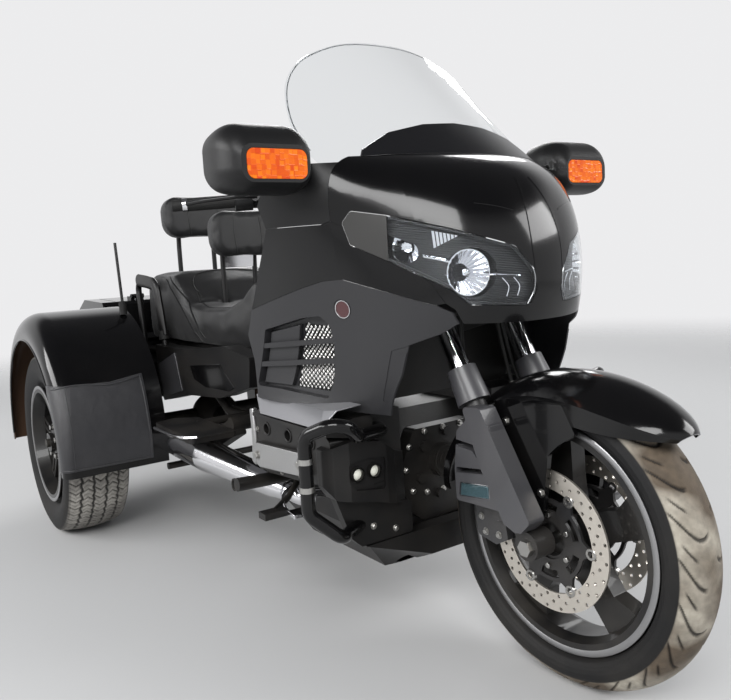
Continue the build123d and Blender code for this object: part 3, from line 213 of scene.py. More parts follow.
def grain_group():
    """Cast or moulded grain: fine noise over coarser noise, as a bump height from 0 to 1."""
    group, start, end = node_group("grain", [("Vector", "NodeSocketVector", None),
                                             ("Scale", "NodeSocketFloat", 400.0)],
                                   [("Height", "NodeSocketFloat")])
    fine = group.nodes.new("ShaderNodeTexNoise")
    fine.inputs["Detail"].default_value = 3
    coarse = group.nodes.new("ShaderNodeTexNoise")
    third = group.nodes.new("ShaderNodeMath")
    third.operation = "MULTIPLY"
    third.inputs[1].default_value = 0.3
    mix = group.nodes.new("ShaderNodeMath")
    mix.operation = "ADD"
    link = group.links.new
    link(start.outputs["Vector"], fine.inputs["Vector"])
    link(start.outputs["Vector"], coarse.inputs["Vector"])
    link(start.outputs["Scale"], fine.inputs["Scale"])
    link(start.outputs["Scale"], third.inputs[0])
    link(third.outputs[0], coarse.inputs["Scale"])
    link(fine.outputs["Fac"], mix.inputs[0])
    link(coarse.outputs["Fac"], mix.inputs[1])
    link(mix.outputs[0], end.inputs["Height"])
    return group


def dust_group():
    """Road dust: the colour turns dusty and the surface duller in soft patches, more of it
    low down, with Level the height in metres where it has mostly gone."""
    group, start, end = node_group("dust", [("Vector", "NodeSocketVector", None),
                                            ("Color", "NodeSocketColor", (0, 0, 0, 1)),
                                            ("Roughness", "NodeSocketFloat", 0.3),
                                            ("Dust Color", "NodeSocketColor", ROAD_DUST),
                                            ("Amount", "NodeSocketFloat", 0.1),
                                            ("Level", "NodeSocketFloat", 0.6)],
                                   [("Color", "NodeSocketColor"), ("Roughness", "NodeSocketFloat")])
    link = group.links.new
    apart = group.nodes.new("ShaderNodeSeparateXYZ")
    link(start.outputs["Vector"], apart.inputs[0])
    patches = group.nodes.new("ShaderNodeTexNoise")
    patches.inputs["Scale"].default_value = 9
    patches.inputs["Detail"].default_value = 6
    link(start.outputs["Vector"], patches.inputs["Vector"])
    low = group.nodes.new("ShaderNodeMapRange")
    low.inputs["To Min"].default_value = 1
    low.inputs["To Max"].default_value = 0.18
    link(apart.outputs["Z"], low.inputs["Value"])
    link(start.outputs["Level"], low.inputs["From Max"])
    spread = group.nodes.new("ShaderNodeMapRange")
    spread.inputs["From Min"].default_value = 0.3
    spread.inputs["From Max"].default_value = 0.75
    link(patches.outputs["Fac"], spread.inputs["Value"])
    both = group.nodes.new("ShaderNodeMath")
    both.operation = "MULTIPLY"
    link(low.outputs[0], both.inputs[0])
    link(spread.outputs[0], both.inputs[1])
    amount = group.nodes.new("ShaderNodeMath")
    amount.operation = "MULTIPLY"
    link(both.outputs[0], amount.inputs[0])
    link(start.outputs["Amount"], amount.inputs[1])
    tint = group.nodes.new("ShaderNodeMix")
    tint.data_type = "RGBA"
    link(amount.outputs[0], tint.inputs["Factor"])
    link(start.outputs["Color"], tint.inputs["A"])
    link(start.outputs["Dust Color"], tint.inputs["B"])
    dull = group.nodes.new("ShaderNodeMix")
    dull.inputs["B"].default_value = 0.85
    link(amount.outputs[0], dull.inputs["Factor"])
    link(start.outputs["Roughness"], dull.inputs["A"])
    link(tint.outputs["Result"], end.inputs["Color"])
    link(dull.outputs["Result"], end.inputs["Roughness"])
    return group


GRAIN = grain_group()
DUST = dust_group()


def finish(name, slot, colour, rough, metal=0.0, coat=0.0, spec=0.5, grain=(600, 0.0002), dust=0.06,
           level=0.7):
    """A painted, moulded, cast or plated surface. slot is the record's name for it, grain the
    noise scale and its height in metres, dust the share of road dust near the ground and level
    the height where it ends."""
    material = bpy.data.materials.new(name)
    material["slot"] = slot
    material.use_nodes = True
    tree = material.node_tree
    link = tree.links.new
    shader = tree.nodes["Principled BSDF"]
    shader.inputs["Metallic"].default_value = metal
    shader.inputs["Specular IOR Level"].default_value = spec
    shader.inputs["Coat Weight"].default_value = coat
    shader.inputs["Coat Roughness"].default_value = 0.02
    place = tree.nodes.new("ShaderNodeTexCoord")
    dusty = tree.nodes.new("ShaderNodeGroup")
    dusty.node_tree = DUST
    dusty.inputs["Color"].default_value = (*colour, 1)
    dusty.inputs["Roughness"].default_value = rough
    dusty.inputs["Amount"].default_value = dust
    dusty.inputs["Level"].default_value = level
    grained = tree.nodes.new("ShaderNodeGroup")
    grained.node_tree = GRAIN
    grained.inputs["Scale"].default_value = grain[0]
    bump = tree.nodes.new("ShaderNodeBump")
    bump.inputs["Distance"].default_value = grain[1]
    link(place.outputs["Object"], dusty.inputs["Vector"])
    link(place.outputs["Object"], grained.inputs["Vector"])
    link(dusty.outputs["Color"], shader.inputs["Base Color"])
    link(dusty.outputs["Roughness"], shader.inputs["Roughness"])
    link(grained.outputs["Height"], bump.inputs["Height"])
    link(bump.outputs["Normal"], shader.inputs["Normal"])
    return material


def dress(material, *names):
    """The finish goes on these CAD nodes."""
    for name in names:
        mesh = nodes[name].data
        mesh.materials.clear()
        mesh.materials.append(material)


def station(x, y, z):
    """Millimetres ahead of the front axle, to the left and up, as a place in the frame."""
    return np.array([FRONT_AXLE_X + x / 1000, y / 1000, z / 1000])


def shell_tree(mesh):
    """The mesh's triangles, ready for rays."""
    mesh.calc_loop_triangles()
    points = [vertex.co.copy() for vertex in mesh.vertices]
    faces = [tuple(triangle.vertices) for triangle in mesh.loop_triangles]
    return BVHTree.FromPolygons(points, faces)


def pressed(tree, starts, aim, lift=0.0):
    """Each start goes along aim to the surface and then lift back out along its normal. A ray
    that misses is left out."""
    found = []
    for start in starts:
        spot, normal, _, _ = tree.ray_cast(Vector(start), Vector(aim))
        if spot is not None:
            found.append(spot + normal * (lift if normal.dot(Vector(aim)) < 0 else -lift))
    return np.array(found)


def smooth_path(points, per=8):
    """A curve through all the points: between two of them it is the cubic whose slopes are half
    the steps between their neighbours."""
    p = np.asarray(points, float)
    ends = np.vstack([2 * p[0] - p[1], p, 2 * p[-1] - p[-2]])
    t = np.linspace(0, 1, per, endpoint=False)[None, :, None]
    a, b, c, d = (ends[k:len(ends) - 3 + k][:, None] for k in range(4))
    curve = 0.5 * (2 * b + (c - a) * t + (2 * a - 5 * b + 4 * c - d) * t ** 2
                   + (3 * b - a - 3 * c + d) * t ** 3)
    return np.vstack([curve.reshape(-1, 3), p[-1:]])


def grid_faces(rows, columns, close_columns=True):
    """Quads over a rows x columns grid of points, joined round in the column direction."""
    index = np.arange(rows * columns).reshape(rows, columns)
    if close_columns:
        index = np.hstack([index, index[:, :1]])
    quads = np.stack([index[:-1, :-1], index[:-1, 1:], index[1:, 1:], index[1:, :-1]], axis=-1)
    return [tuple(quad) for quad in quads.reshape(-1, 4).tolist()]


def tube_shape(path, radius, around=8, flat=1.0):
    """A round section carried along a path: each ring stands square to it, in the two directions
    that come from crossing the path's run with one fixed direction. flat thins one of them. The
    path's first and last points close the ends."""
    path = np.asarray(path, float)
    run = np.gradient(path, axis=0)
    run /= np.linalg.norm(run, axis=1, keepdims=True)
    fixed = np.eye(3)[np.argmin(np.abs(run).max(axis=0))]
    side = np.cross(run, fixed)
    side /= np.linalg.norm(side, axis=1, keepdims=True)
    other = np.cross(run, side)
    angle = np.linspace(0, 2 * math.pi, around, endpoint=False)[None, :, None]
    ring = np.cos(angle) * side[:, None] + flat * np.sin(angle) * other[:, None]
    grid = path[:, None] + radius * ring
    grid = np.concatenate([path[:1, None] + 0 * ring[:1], grid, path[-1:, None] + 0 * ring[:1]])
    return grid.reshape(-1, 3).tolist(), grid_faces(len(grid), around)


def turned_shape(profile, place, axis, count=24):
    """A profile of (along, radius) pairs turned about an axis through place. A radius of zero
    closes an end."""
    axis = Vector(axis).normalized()
    side = axis.orthogonal().normalized()
    other = axis.cross(side)
    angle = np.linspace(0, 2 * math.pi, count, endpoint=False)
    along = np.array([p[0] for p in profile])[:, None, None]
    radius = np.array([p[1] for p in profile])[:, None, None]
    ring = (np.cos(angle)[None, :, None] * np.array(side)
            + np.sin(angle)[None, :, None] * np.array(other))
    grid = np.array(place) + along * np.array(axis) + radius * ring
    return grid.reshape(-1, 3).tolist(), grid_faces(len(profile), count)


def slab_shape(outline, push):
    """A flat outline carried along push: two faces and a wall round them."""
    face = [tuple(point) for point in np.asarray(outline, float)]
    back = [tuple(point) for point in np.asarray(outline, float) + np.asarray(push, float)]
    count = len(face)
    walls = [(k, (k + 1) % count, count + (k + 1) % count, count + k) for k in range(count)]
    return face + back, [tuple(range(count)), tuple(range(2 * count - 1, count - 1, -1))] + walls


def twin(shapes):
    """The shapes and their mirror images on the other side of the trike."""
    other = [([(x, -y, z) for x, y, z in points], [face[::-1] for face in faces])
             for points, faces in shapes]
    return list(shapes) + other


def join_meshes(name, shapes):
    """Several (points, faces) shapes as one mesh with merged doubles and faces turned outwards."""
    points, faces = [], []
    for some_points, some_faces in shapes:
        start = len(points)
        points += [tuple(point) for point in some_points]
        faces += [tuple(start + k for k in face) for face in some_faces]
    mesh = bpy.data.meshes.new(name)
    mesh.from_pydata(points, [], faces)
    work = bmesh.new()
    work.from_mesh(mesh)
    bmesh.ops.remove_doubles(work, verts=work.verts, dist=0.00001)
    bmesh.ops.recalc_face_normals(work, faces=work.faces)
    work.to_mesh(mesh)
    work.free()
    return mesh


def shade_by_angle(piece, degrees=35):
    """Flat where faces meet at more than the angle, smooth elsewhere."""
    piece.data.shade_smooth()
    work = bmesh.new()
    work.from_mesh(piece.data)
    for edge in work.edges:
        edge.smooth = len(edge.link_faces) == 2 and edge.calc_face_angle(0) < math.radians(degrees)
    work.to_mesh(piece.data)
    work.free()


def place_piece(name, mesh, body, material):
    """The mesh becomes a piece that rides on the body and wears the material."""
    piece = bpy.data.objects.new(name, mesh)
    bpy.context.scene.collection.objects.link(piece)
    mesh.materials.append(material)
    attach(piece, body)
    return piece


def fitted(name, shapes, body, material, bevel=0.0):
    """The shapes as one piece, its edges flat or smooth by their angle and rounded by bevel."""
    piece = place_piece(name, join_meshes(name, shapes), body, material)
    shade_by_angle(piece)
    if bevel:
        rounding = piece.modifiers.new("rounding", "BEVEL")
        rounding.width = bevel
        rounding.segments = 2
        rounding.limit_method = "ANGLE"
    return piece


gloss_black = finish("gloss_black", "gloss_black", PAINT_BLACK, 0.14, spec=0.25, coat=0.2,
                     grain=(40, 0.00002), dust=0.02)
dress(gloss_black, "nose_cowl", "fairing_shoulders")
nose_skin = shell_tree(nodes["nose_cowl"].data)
lines = []
for line in NOSE_LINES:
    starts = smooth_path([(FAR_AHEAD, y, z) for y, z in line])
    path = pressed(nose_skin, starts, (-1, 0, 0), -NOSE_LINE_SINK)
    lines.append(tube_shape(path, NOSE_LINE_R, 6))
fitted("nose_lines", twin(lines), "chassis", gloss_black)

# Side fairings
# Matt graphite panels over the radiators. Each has a framed opening with two blades, a blank
# panel behind it and, ahead of it, an expanded-metal grille of bright diamonds over a black sheet
# of painted shade, which stands for the dark seen through the mesh.
GRAPHITE = (0.023, 0.023, 0.025)
SHADE_BLACK = (0.004, 0.004, 0.004)
GRILLE_BRIGHT = (0.78, 0.77, 0.75)
MESH_CORNERS = [(-540, 618), (-410, 612), (-390, 762), (-484, 770)]
MESH_MIDDLE = (-460, 690)
MESH_PITCH = 13.0
MESH_REACH = 30
MESH_WIDTH = 10.9
MESH_TOP = 0.45
MESH_LIFT = 0.0008
MESH_BOSS = 0.0016
SHADE_SHEET_LIFT = 0.0007
BLANK_CORNERS = [(-652, 620), (-549, 618), (-492, 768), (-600, 748)]
BLANK_LIFT = 0.011
SKIN_LIFT = 0.0001


def inside(x, z, corners):
    """Whether points lie inside a convex outline: to the left of all of its sides."""
    keep = np.ones(np.shape(x), bool)
    for (x0, z0), (x1, z1) in zip(corners, corners[1:] + corners[:1]):
        keep &= (x1 - x0) * (z - z0) - (z1 - z0) * (x - x0) > 0
    return keep


def patch(tree, corners, rows, columns, lift):
    """A grid over a four-cornered side-view area, blended between its corners, each point pressed
    in from the side onto the surface and lifted off it."""
    s, t = np.meshgrid(np.linspace(0, 1, columns), np.linspace(0, 1, rows))
    a, b, c, d = (station(x, 0, z) for x, z in corners)
    grid = ((1 - s) * (1 - t))[..., None] * a + (s * (1 - t))[..., None] * b
    grid = grid + (s * t)[..., None] * c + ((1 - s) * t)[..., None] * d
    starts = grid.reshape(-1, 3)
    starts[:, 1] = FAR_RIGHT / 1000
    return pressed(tree, starts, (0, 1, 0), lift).reshape(rows, columns, 3)


def sheet_shape(front, back):
    """A panel between two grids of the same size: both faces and the wall round their edges."""
    rows, columns = front.shape[:2]
    index = np.arange(rows * columns).reshape(rows, columns)
    faces = grid_faces(rows, columns, False)
    count = rows * columns
    faces += [tuple(count + k for k in reversed(face)) for face in faces]
    border = np.concatenate([index[0], index[1:, -1], index[-1, -2::-1], index[-2:0:-1, 0]])
    border = border.tolist()
    around = border[1:] + border[:1]
    faces += [(a, a + count, b + count, b) for a, b in zip(border, around)]
    return np.concatenate([front.reshape(-1, 3), back.reshape(-1, 3)]).tolist(), faces


def diamond_tiles(tree):
    """Bright bosses of the expanded metal: points of a lattice of two diagonals that lie inside
    the opening, each a low four-sided pyramid with its top cut off."""
    steps = np.arange(-MESH_REACH, MESH_REACH + 1)
    i, k = np.meshgrid(steps, steps)
    x = MESH_MIDDLE[0] + (i + k) * MESH_PITCH / 2
    z = MESH_MIDDLE[1] + (i - k) * MESH_PITCH / 2
    keep = inside(x, z, MESH_CORNERS)
    shapes = []
    for cx, cz in zip(x[keep], z[keep]):
        start = station(cx, FAR_RIGHT, cz)
        spot, normal, _, _ = tree.ray_cast(Vector(start), Vector((0, 1, 0)))
        if spot is None:
            continue
        spot, out = np.array(spot), np.array(normal) * -math.copysign(1, normal.y)
        ring = np.array([(1, 0, 0), (0, 0, 1), (-1, 0, 0), (0, 0, -1)]) * MESH_WIDTH / 2000
        foot = spot + ring + out * MESH_LIFT
        top = spot + ring * MESH_TOP + out * (MESH_LIFT + MESH_BOSS)
        shapes.append((np.vstack([foot, top]).tolist(),
                       [(3, 2, 1, 0), (4, 5, 6, 7)] + [(n, (n + 1) % 4, 4 + (n + 1) % 4, 4 + n)
                                                       for n in range(4)]))
    return shapes


graphite = finish("graphite", "matte_graphite", GRAPHITE, 0.42, spec=0.34, grain=(1500, 0.00004),
                  dust=0.03)
# A black sheet of painted shade: behind the grille's diamonds and in the pods' drain slots it
# stands for the dark seen through the holes
shade_black = finish("shade_black", "satin_black", SHADE_BLACK, 0.6, spec=0.2, dust=0.02)
grille_bright = finish("grille_bright", "mesh_metal", GRILLE_BRIGHT, 0.28, metal=1.0, dust=0.05)
dress(graphite, "side_fairings", "radiator_grilles")
side_mesh = shell_tree(nodes["radiator_grilles"].data)
# Under the diamonds lies a black sheet of painted shade, for the dark seen through the mesh
shade_sheet = sheet_shape(patch(side_mesh, MESH_CORNERS, 12, 10, SHADE_SHEET_LIFT),
                      patch(side_mesh, MESH_CORNERS, 12, 10, SKIN_LIFT))
fitted("grille_shade_sheet", twin([shade_sheet]), "chassis", shade_black)
fitted("grille_diamonds", twin(diamond_tiles(side_mesh)), "chassis", grille_bright)
blank = sheet_shape(patch(side_mesh, BLANK_CORNERS, 12, 12, BLANK_LIFT),
                    patch(side_mesh, BLANK_CORNERS, 12, 12, SKIN_LIFT))
fitted("louvre_blanks", twin([blank]), "chassis", graphite, 0.001)

# Blank badge
# A round badge glued flat on each side fairing: a plain plated ring round a plain dark red face.
# Three rays near its place give the skin's slope there.
BADGE_PLACE = (-339, 804)
BADGE_R = 0.0205
BADGE_STEP = 16

side_skin = shell_tree(nodes["side_fairings"].data)
starts = [station(BADGE_PLACE[0] + dx, FAR_RIGHT, BADGE_PLACE[1] + dz)
          for dx, dz in ((0, 0), (BADGE_STEP, 0), (0, BADGE_STEP))]
middle, ahead, over = pressed(side_skin, starts, (0, 1, 0))
out = np.cross(ahead - middle, over - middle)
out *= -math.copysign(1, out[1]) / np.linalg.norm(out)
ring = turned_shape([(0, BADGE_R * 0.86), (0.0022, BADGE_R * 0.88), (0.0024, BADGE_R * 0.97),
                     (0.0010, BADGE_R), (0, BADGE_R), (0, BADGE_R * 0.86)], middle, out, 40)
face = turned_shape([(0, 0), (0, BADGE_R * 0.87), (0.0008, BADGE_R * 0.87), (0.0016, 0)],
                    middle, out, 40)
badge_bright = finish("badge_bright", "chrome", (0.55, 0.55, 0.56), 0.2, metal=1.0, dust=0.02)
badge_face = finish("badge_face", "red_lens", (0.05, 0.006, 0.008), 0.25, coat=0.5, dust=0.0)
fitted("badge_rings", twin([ring]), "chassis", badge_bright)
fitted("badge_faces", twin([face]), "chassis", badge_face)

# Headlights
# Clear polycarbonate lenses over black lamp bodies moulded with fine lines. Inside each are a
# bright bowl with its bulb, a signal cup, three bright lines, two vanes and a ribbed reflector.
BOWL_PLACE = (-113, -157, 870)
BOWL_AIM = (0.94, -0.342, 0.0)
BOWL_R = 0.045
BOWL_DEPTH = 0.046
BOWL_FLUTES = 22
FLUTE_RISE = 0.035
BULB = [(0, 0), (0, 0.008), (0.026, 0.0075), (0.034, 0.0055), (0.037, 0)]
SIGNAL_PLACE = (-214, -232, 926)
SIGNAL_AIM = (0.62, -0.78, 0.0)
SIGNAL_R = 0.031
SIGNAL_DEPTH = 0.020
SIGNAL_FLUTES = 14
TRIANGLE = [(-161, -209, 957), (-158, -207, 922), (-122, -172, 944)]
TRIANGLE_RIBS = 7
RIB_SHARE = 0.10
RIB_PUSH = (0.002, -0.002, 0)
LEVEL_LINES = [
    # y and z of each bright line's points across the lamp body, seen from ahead, and its radius
    ([(-0.222, 0.908), (-0.200, 0.899), (-0.180, 0.890)], 0.0042),
    ([(-0.116, 0.864), (-0.095, 0.862), (-0.066, 0.858)], 0.0016),
    ([(-0.196, 0.868), (-0.176, 0.858), (-0.160, 0.842)], 0.0016),
]
VANES = [-0.103, -0.080]
VANE_RUN = [(0.0, 0.856), (0.013, 0.838), (0.010, 0.818)]
VANE_R = 0.0011
LINE_LIFT = 0.001
BEZEL_BAND = 0.0035
BEZEL_BLACK = (0.012, 0.012, 0.013)
BEZEL_GREY = (0.05, 0.05, 0.052)
CORNER_GREY = (0.034, 0.0335, 0.0325)
REFLECTOR_BRIGHT = (0.86, 0.86, 0.88)
LENS_TINT = (0.95, 0.98, 1.0)
# y and z of the lens's inner edge and top edge, seen from ahead
LENS_EDGE = [(-56, 800), (-42, 830), (-44, 866), (-70, 908), (-124, 938), (-180, 958)]
LENS_GLINT_R = 0.0012
LENS_GLINT_LIFT = 0.0002


def lined_black(name, slot, colour, other, period):
    """Black moulding with fine level lines: a wave along the height turns the colour and, as a
    bump, the surface."""
    material = finish(name, slot, colour, 0.3, spec=0.4, dust=0.0)
    tree = material.node_tree
    link = tree.links.new
    shader = tree.nodes["Principled BSDF"]
    place = tree.nodes.new("ShaderNodeTexCoord")
    wave = tree.nodes.new("ShaderNodeTexWave")
    wave.bands_direction = "Z"
    wave.inputs["Scale"].default_value = math.pi / (10 * period)
    wave.inputs["Distortion"].default_value = 0.4
    tint = tree.nodes.new("ShaderNodeMix")
    tint.data_type = "RGBA"
    tint.inputs["A"].default_value = (*colour, 1)
    tint.inputs["B"].default_value = (*other, 1)
    bump = tree.nodes.new("ShaderNodeBump")
    bump.inputs["Distance"].default_value = 0.0006
    link(place.outputs["Object"], wave.inputs["Vector"])
    link(wave.outputs["Fac"], tint.inputs["Factor"])
    link(tint.outputs["Result"], shader.inputs["Base Color"])
    link(wave.outputs["Fac"], bump.inputs["Height"])
    link(bump.outputs["Normal"], shader.inputs["Normal"])
    return material


def fluted_bowl(place, aim, radius, depth, flutes, count=88):
    """A reflector: radius times the square root of the depth's share, its inner face waved round
    the axis into flutes. The rim turns over to a plain back that ends in a point."""
    aim = Vector(aim).normalized()
    side = aim.orthogonal().normalized()
    other = aim.cross(side)
    angle = np.linspace(0, 2 * math.pi, count, endpoint=False)
    share = np.linspace(0.02, 1, 14)
    wave = 1 + FLUTE_RISE * np.abs(np.sin(angle * flutes / 2))
    rows = [(-depth * (1 - s), radius * math.sqrt(s) / wave) for s in share]
    rows += [(0, radius * 1.045 + 0 * angle), (-depth * 0.5, radius * 0.82 + 0 * angle),
             (-depth - 0.002, 0.2 * radius + 0 * angle), (-depth - 0.002, 0 * angle)]
    rows.insert(0, (-depth, 0 * angle))
    grid = np.array([np.array(place) + along * np.array(aim)
                     + (np.cos(angle) * r)[:, None] * np.array(side)
                     + (np.sin(angle) * r)[:, None] * np.array(other) for along, r in rows])
    return grid.reshape(-1, 3).tolist(), grid_faces(len(rows), count)


def clear_sheet(name, colour, rough, bend):
    """Clear or tinted plastic that light passes through, with a low index so it bends little."""
    material = bpy.data.materials.new(name)
    material.use_nodes = True
    shader = material.node_tree.nodes["Principled BSDF"]
    shader.inputs["Base Color"].default_value = (*colour, 1)
    shader.inputs["Roughness"].default_value = rough
    shader.inputs["Transmission Weight"].default_value = 1.0
    shader.inputs["IOR"].default_value = bend
    return material


lamp_black = lined_black("lamp_black", "lamp_body", BEZEL_BLACK, BEZEL_GREY, BEZEL_BAND)
dress(lamp_black, "headlight_housings")
corner_grey = finish("corner_grey", "cover_grey", CORNER_GREY, 0.30, spec=0.45,
                     grain=(1500, 0.00004))
dress(corner_grey, "lamp_corners")
lamp_bright = finish("lamp_bright", "lamp_body", REFLECTOR_BRIGHT, 0.07, metal=1.0,
                     grain=(90, 0.0002), dust=0.0)
dress(clear_sheet("lamp_glass", LENS_TINT, 0.01, 1.25), "headlight_lenses")

bowls = [fluted_bowl(station(*BOWL_PLACE), BOWL_AIM, BOWL_R, BOWL_DEPTH, BOWL_FLUTES),
         fluted_bowl(station(*SIGNAL_PLACE), SIGNAL_AIM, SIGNAL_R, SIGNAL_DEPTH, SIGNAL_FLUTES)]
bulb_foot = station(*BOWL_PLACE) - BOWL_DEPTH * np.array(BOWL_AIM)
bowls.append(turned_shape(BULB, bulb_foot, BOWL_AIM, 20))
body_tree = shell_tree(nodes["headlight_housings"].data)
for line, radius in LEVEL_LINES:
    starts = smooth_path([(FAR_AHEAD, y, z) for y, z in line])
    bowls.append(tube_shape(pressed(body_tree, starts, (-1, 0, 0), LINE_LIFT), radius, 8))
for y in VANES:
    starts = smooth_path([(FAR_AHEAD, y + along, z) for along, z in VANE_RUN])
    bowls.append(tube_shape(pressed(body_tree, starts, (-1, 0, 0), LINE_LIFT), VANE_R, 6))
high, foot, tip = (station(*p) for p in TRIANGLE)
for rib in range(TRIANGLE_RIBS):
    share = rib / TRIANGLE_RIBS
    low = foot + (tip - foot) * share
    top = high + (tip - high) * share
    bowls.append(slab_shape([low, top, top + (tip - high) * RIB_SHARE,
                             low + (tip - foot) * RIB_SHARE], RIB_PUSH))
fitted("lamp_reflectors", twin(bowls), "chassis", lamp_bright)

# A satin silver bead along each lens's inner and top edge is a painted highlight for the bright
# line that the edge catches
lens_skin = shell_tree(nodes["headlight_lenses"].data)
starts = smooth_path([(FAR_AHEAD, y / 1000, z / 1000) for y, z in LENS_EDGE])
lens_glint = tube_shape(pressed(lens_skin, starts, (-1, 0, 0), LENS_GLINT_LIFT), LENS_GLINT_R, 6)
lens_glint_paint = finish("lens_glint_paint", "chrome", (0.32, 0.33, 0.34), 0.15, metal=0.8, dust=0.0)
fitted("lens_edge_glints", twin([lens_glint]), "chassis", lens_glint_paint)

# Windshield
# One sheet of clear acrylic, faintly smoked, with a polished edge. It sits in the cowl's top
# edge behind a strip of black trim.
SCREEN_TINT = (0.90, 0.915, 0.92)
SCREEN_EDGE = [(-0.329, 1.150), (-0.322, 1.226), (-0.298, 1.306), (-0.262, 1.361), (-0.212, 1.398),
               (-0.118, 1.432), (0, 1.4405)]
# The bright edge runs this much inside the outline
EDGE_SHARE = 0.997
EDGE_DROP = 0.0015
EDGE_SINK = 0.002
EDGE_R = 0.0016

dress(clear_sheet("screen_acrylic", SCREEN_TINT, 0.0, 1.12), "windshield")
screen_trim = finish("screen_trim", "satin_black", (0.006, 0.006, 0.007), 0.3, spec=0.4, dust=0.0)
dress(screen_trim, "windshield_garnish", "dash_panel")
screen_skin = shell_tree(nodes["windshield"].data)
edge = SCREEN_EDGE + [(-y, z) for y, z in SCREEN_EDGE[-2::-1]]
starts = smooth_path([(FAR_AHEAD, y * EDGE_SHARE, z - EDGE_DROP) for y, z in edge])
path = pressed(screen_skin, starts, (-1, 0, 0), -EDGE_SINK)
edge_grey = finish("edge_grey", "cover_grey", (0.20, 0.21, 0.22), 0.3, dust=0.0)
fitted("screen_edge", [tube_shape(path, EDGE_R, 6)], "chassis", edge_grey)

# Mirrors
# Satin black moulded shells on arms from the cowl, glass behind and an amber turn lens let into
# each front face, moulded inside with small prisms whose glints are painted in as paler cells.
AMBER_DEEP = (0.62, 0.055, 0.001)
# The paler orange is a painted glint in the middle of each prism cell
AMBER_GLINT = (1.0, 0.27, 0.003)
PRISM_SCALE = 95


def prism_lens(name, slot, deep, glint, scale):
    """Coloured plastic over prisms: square cells tint it deep, paler in their middles as a
    painted glint, and tilt its surface.
    """
    material = finish(name, slot, deep, 0.18, spec=0.25, coat=0.15, dust=0.0)
    tree = material.node_tree
    link = tree.links.new
    shader = tree.nodes["Principled BSDF"]
    place = tree.nodes.new("ShaderNodeTexCoord")
    cells = tree.nodes.new("ShaderNodeTexVoronoi")
    cells.distance = "CHEBYCHEV"
    cells.inputs["Scale"].default_value = scale
    cells.inputs["Randomness"].default_value = 0.35
    tint = tree.nodes.new("ShaderNodeMix")
    tint.data_type = "RGBA"
    tint.inputs["A"].default_value = (*glint, 1)
    tint.inputs["B"].default_value = (*deep, 1)
    spread = tree.nodes.new("ShaderNodeMapRange")
    spread.inputs["From Min"].default_value = 0.15
    spread.inputs["From Max"].default_value = 0.6
    bump = tree.nodes.new("ShaderNodeBump")
    bump.inputs["Distance"].default_value = 0.002
    link(place.outputs["Object"], cells.inputs["Vector"])
    link(cells.outputs["Distance"], spread.inputs["Value"])
    link(spread.outputs[0], tint.inputs["Factor"])
    link(tint.outputs["Result"], shader.inputs["Base Color"])
    link(cells.outputs["Distance"], bump.inputs["Height"])
    link(bump.outputs["Normal"], shader.inputs["Normal"])
    return material


mirror_black = finish("mirror_black", "satin_black", (0.006, 0.006, 0.0065), 0.42, spec=0.28,
                      grain=(1500, 0.00005), dust=0.02)
mirror_face = finish("mirror_face", "mirror_face", (0.85, 0.86, 0.88), 0.01, metal=1.0, dust=0.0)
dress(mirror_black, "mirror_housings", "mirror_stays")
dress(mirror_face, "mirror_glass")
amber_lens = prism_lens("amber_lens", "amber_lens", AMBER_DEEP, AMBER_GLINT, PRISM_SCALE)
dress(amber_lens, "mirror_signals")

# Bars and clamps
# A bent steel bar in two risers on cast yokes, with the switch and reservoir blocks and black
# rubber grips that end in a bright ring.
GRIP_END = (-888, -440, 1072)
GRIP_BACK = (-790, -225, 1080)
# Along the grip, out from its end, and the radius, both in metres
COLLAR = [(-0.016, 0.0172), (-0.016, 0.0182), (-0.004, 0.0182), (-0.004, 0.0172), (-0.016, 0.0172)]

cast_black = finish("cast_black", "engine_alloy", (0.020, 0.020, 0.021), 0.45, metal=0.3,
                    grain=(700, 0.0003), dust=0.15)
bar_black = finish("bar_black", "steel_dark", (0.018, 0.018, 0.019), 0.3, metal=0.4,
                   grain=(500, 0.0001))
grip_rubber = finish("grip_rubber", "rubber", (0.012, 0.012, 0.012), 0.65, spec=0.3,
                     grain=(500, 0.0004))
chrome = finish("chrome", "chrome", (0.75, 0.75, 0.77), 0.10, metal=1.0, grain=(60, 0.000004),
                dust=0.08)
dress(cast_black, "triple_clamps")
dress(bar_black, "handlebar", "hand_controls")
dress(grip_rubber, "grips")
grip_aim = station(*GRIP_END) - station(*GRIP_BACK)
grip_aim /= np.linalg.norm(grip_aim)
collars = []
for side in (1, -1):
    mirrored = np.array([1, side, 1])
    collars.append(turned_shape(COLLAR, station(*GRIP_END) * mirrored, grip_aim * mirrored, 28))
fitted("grip_collars", collars, "steering", chrome)

# Fork
# Chromed tubes in black sliders, hidden by dark grey covers: a sleeve round each tube and a guard
# down each slider, whose rear wing holds a clear side reflector. Two rubber brake hoses run up
# each leg in plated clips.
COVER_GREY = (0.052, 0.052, 0.057)
REFLECTOR = [(-178, 391), (-91, 402), (-92, 428), (-174, 419)]
REFLECTOR_Y = -147
REFLECTOR_DEPTH = 0.004
# The bright bezel is the lens's outline, longer and taller, set 4 mm ahead and 2 mm behind it
REFLECTOR_MIDDLE_Z = 409
BEZEL_LONGER = 1.03
BEZEL_TALLER = 1.22
BEZEL_AHEAD = 4
BEZEL_BEHIND = 2
HOSES = [
    [(-150, -100, 366), (-176, -96, 420), (-196, -100, 500), (-214, -92, 580), (-236, -78, 660),
     (-250, -66, 740), (-262, -60, 800)],
    [(-158, -82, 372), (-186, -76, 440), (-204, -80, 520), (-226, -70, 600), (-248, -60, 700),
     (-262, -52, 800)],
]
HOSE_R = 0.0048
CLIP = [(-0.006, 0), (-0.006, 0.0068), (0.006, 0.0068), (0.006, 0)]
CLIP_STEPS = (10, 24)

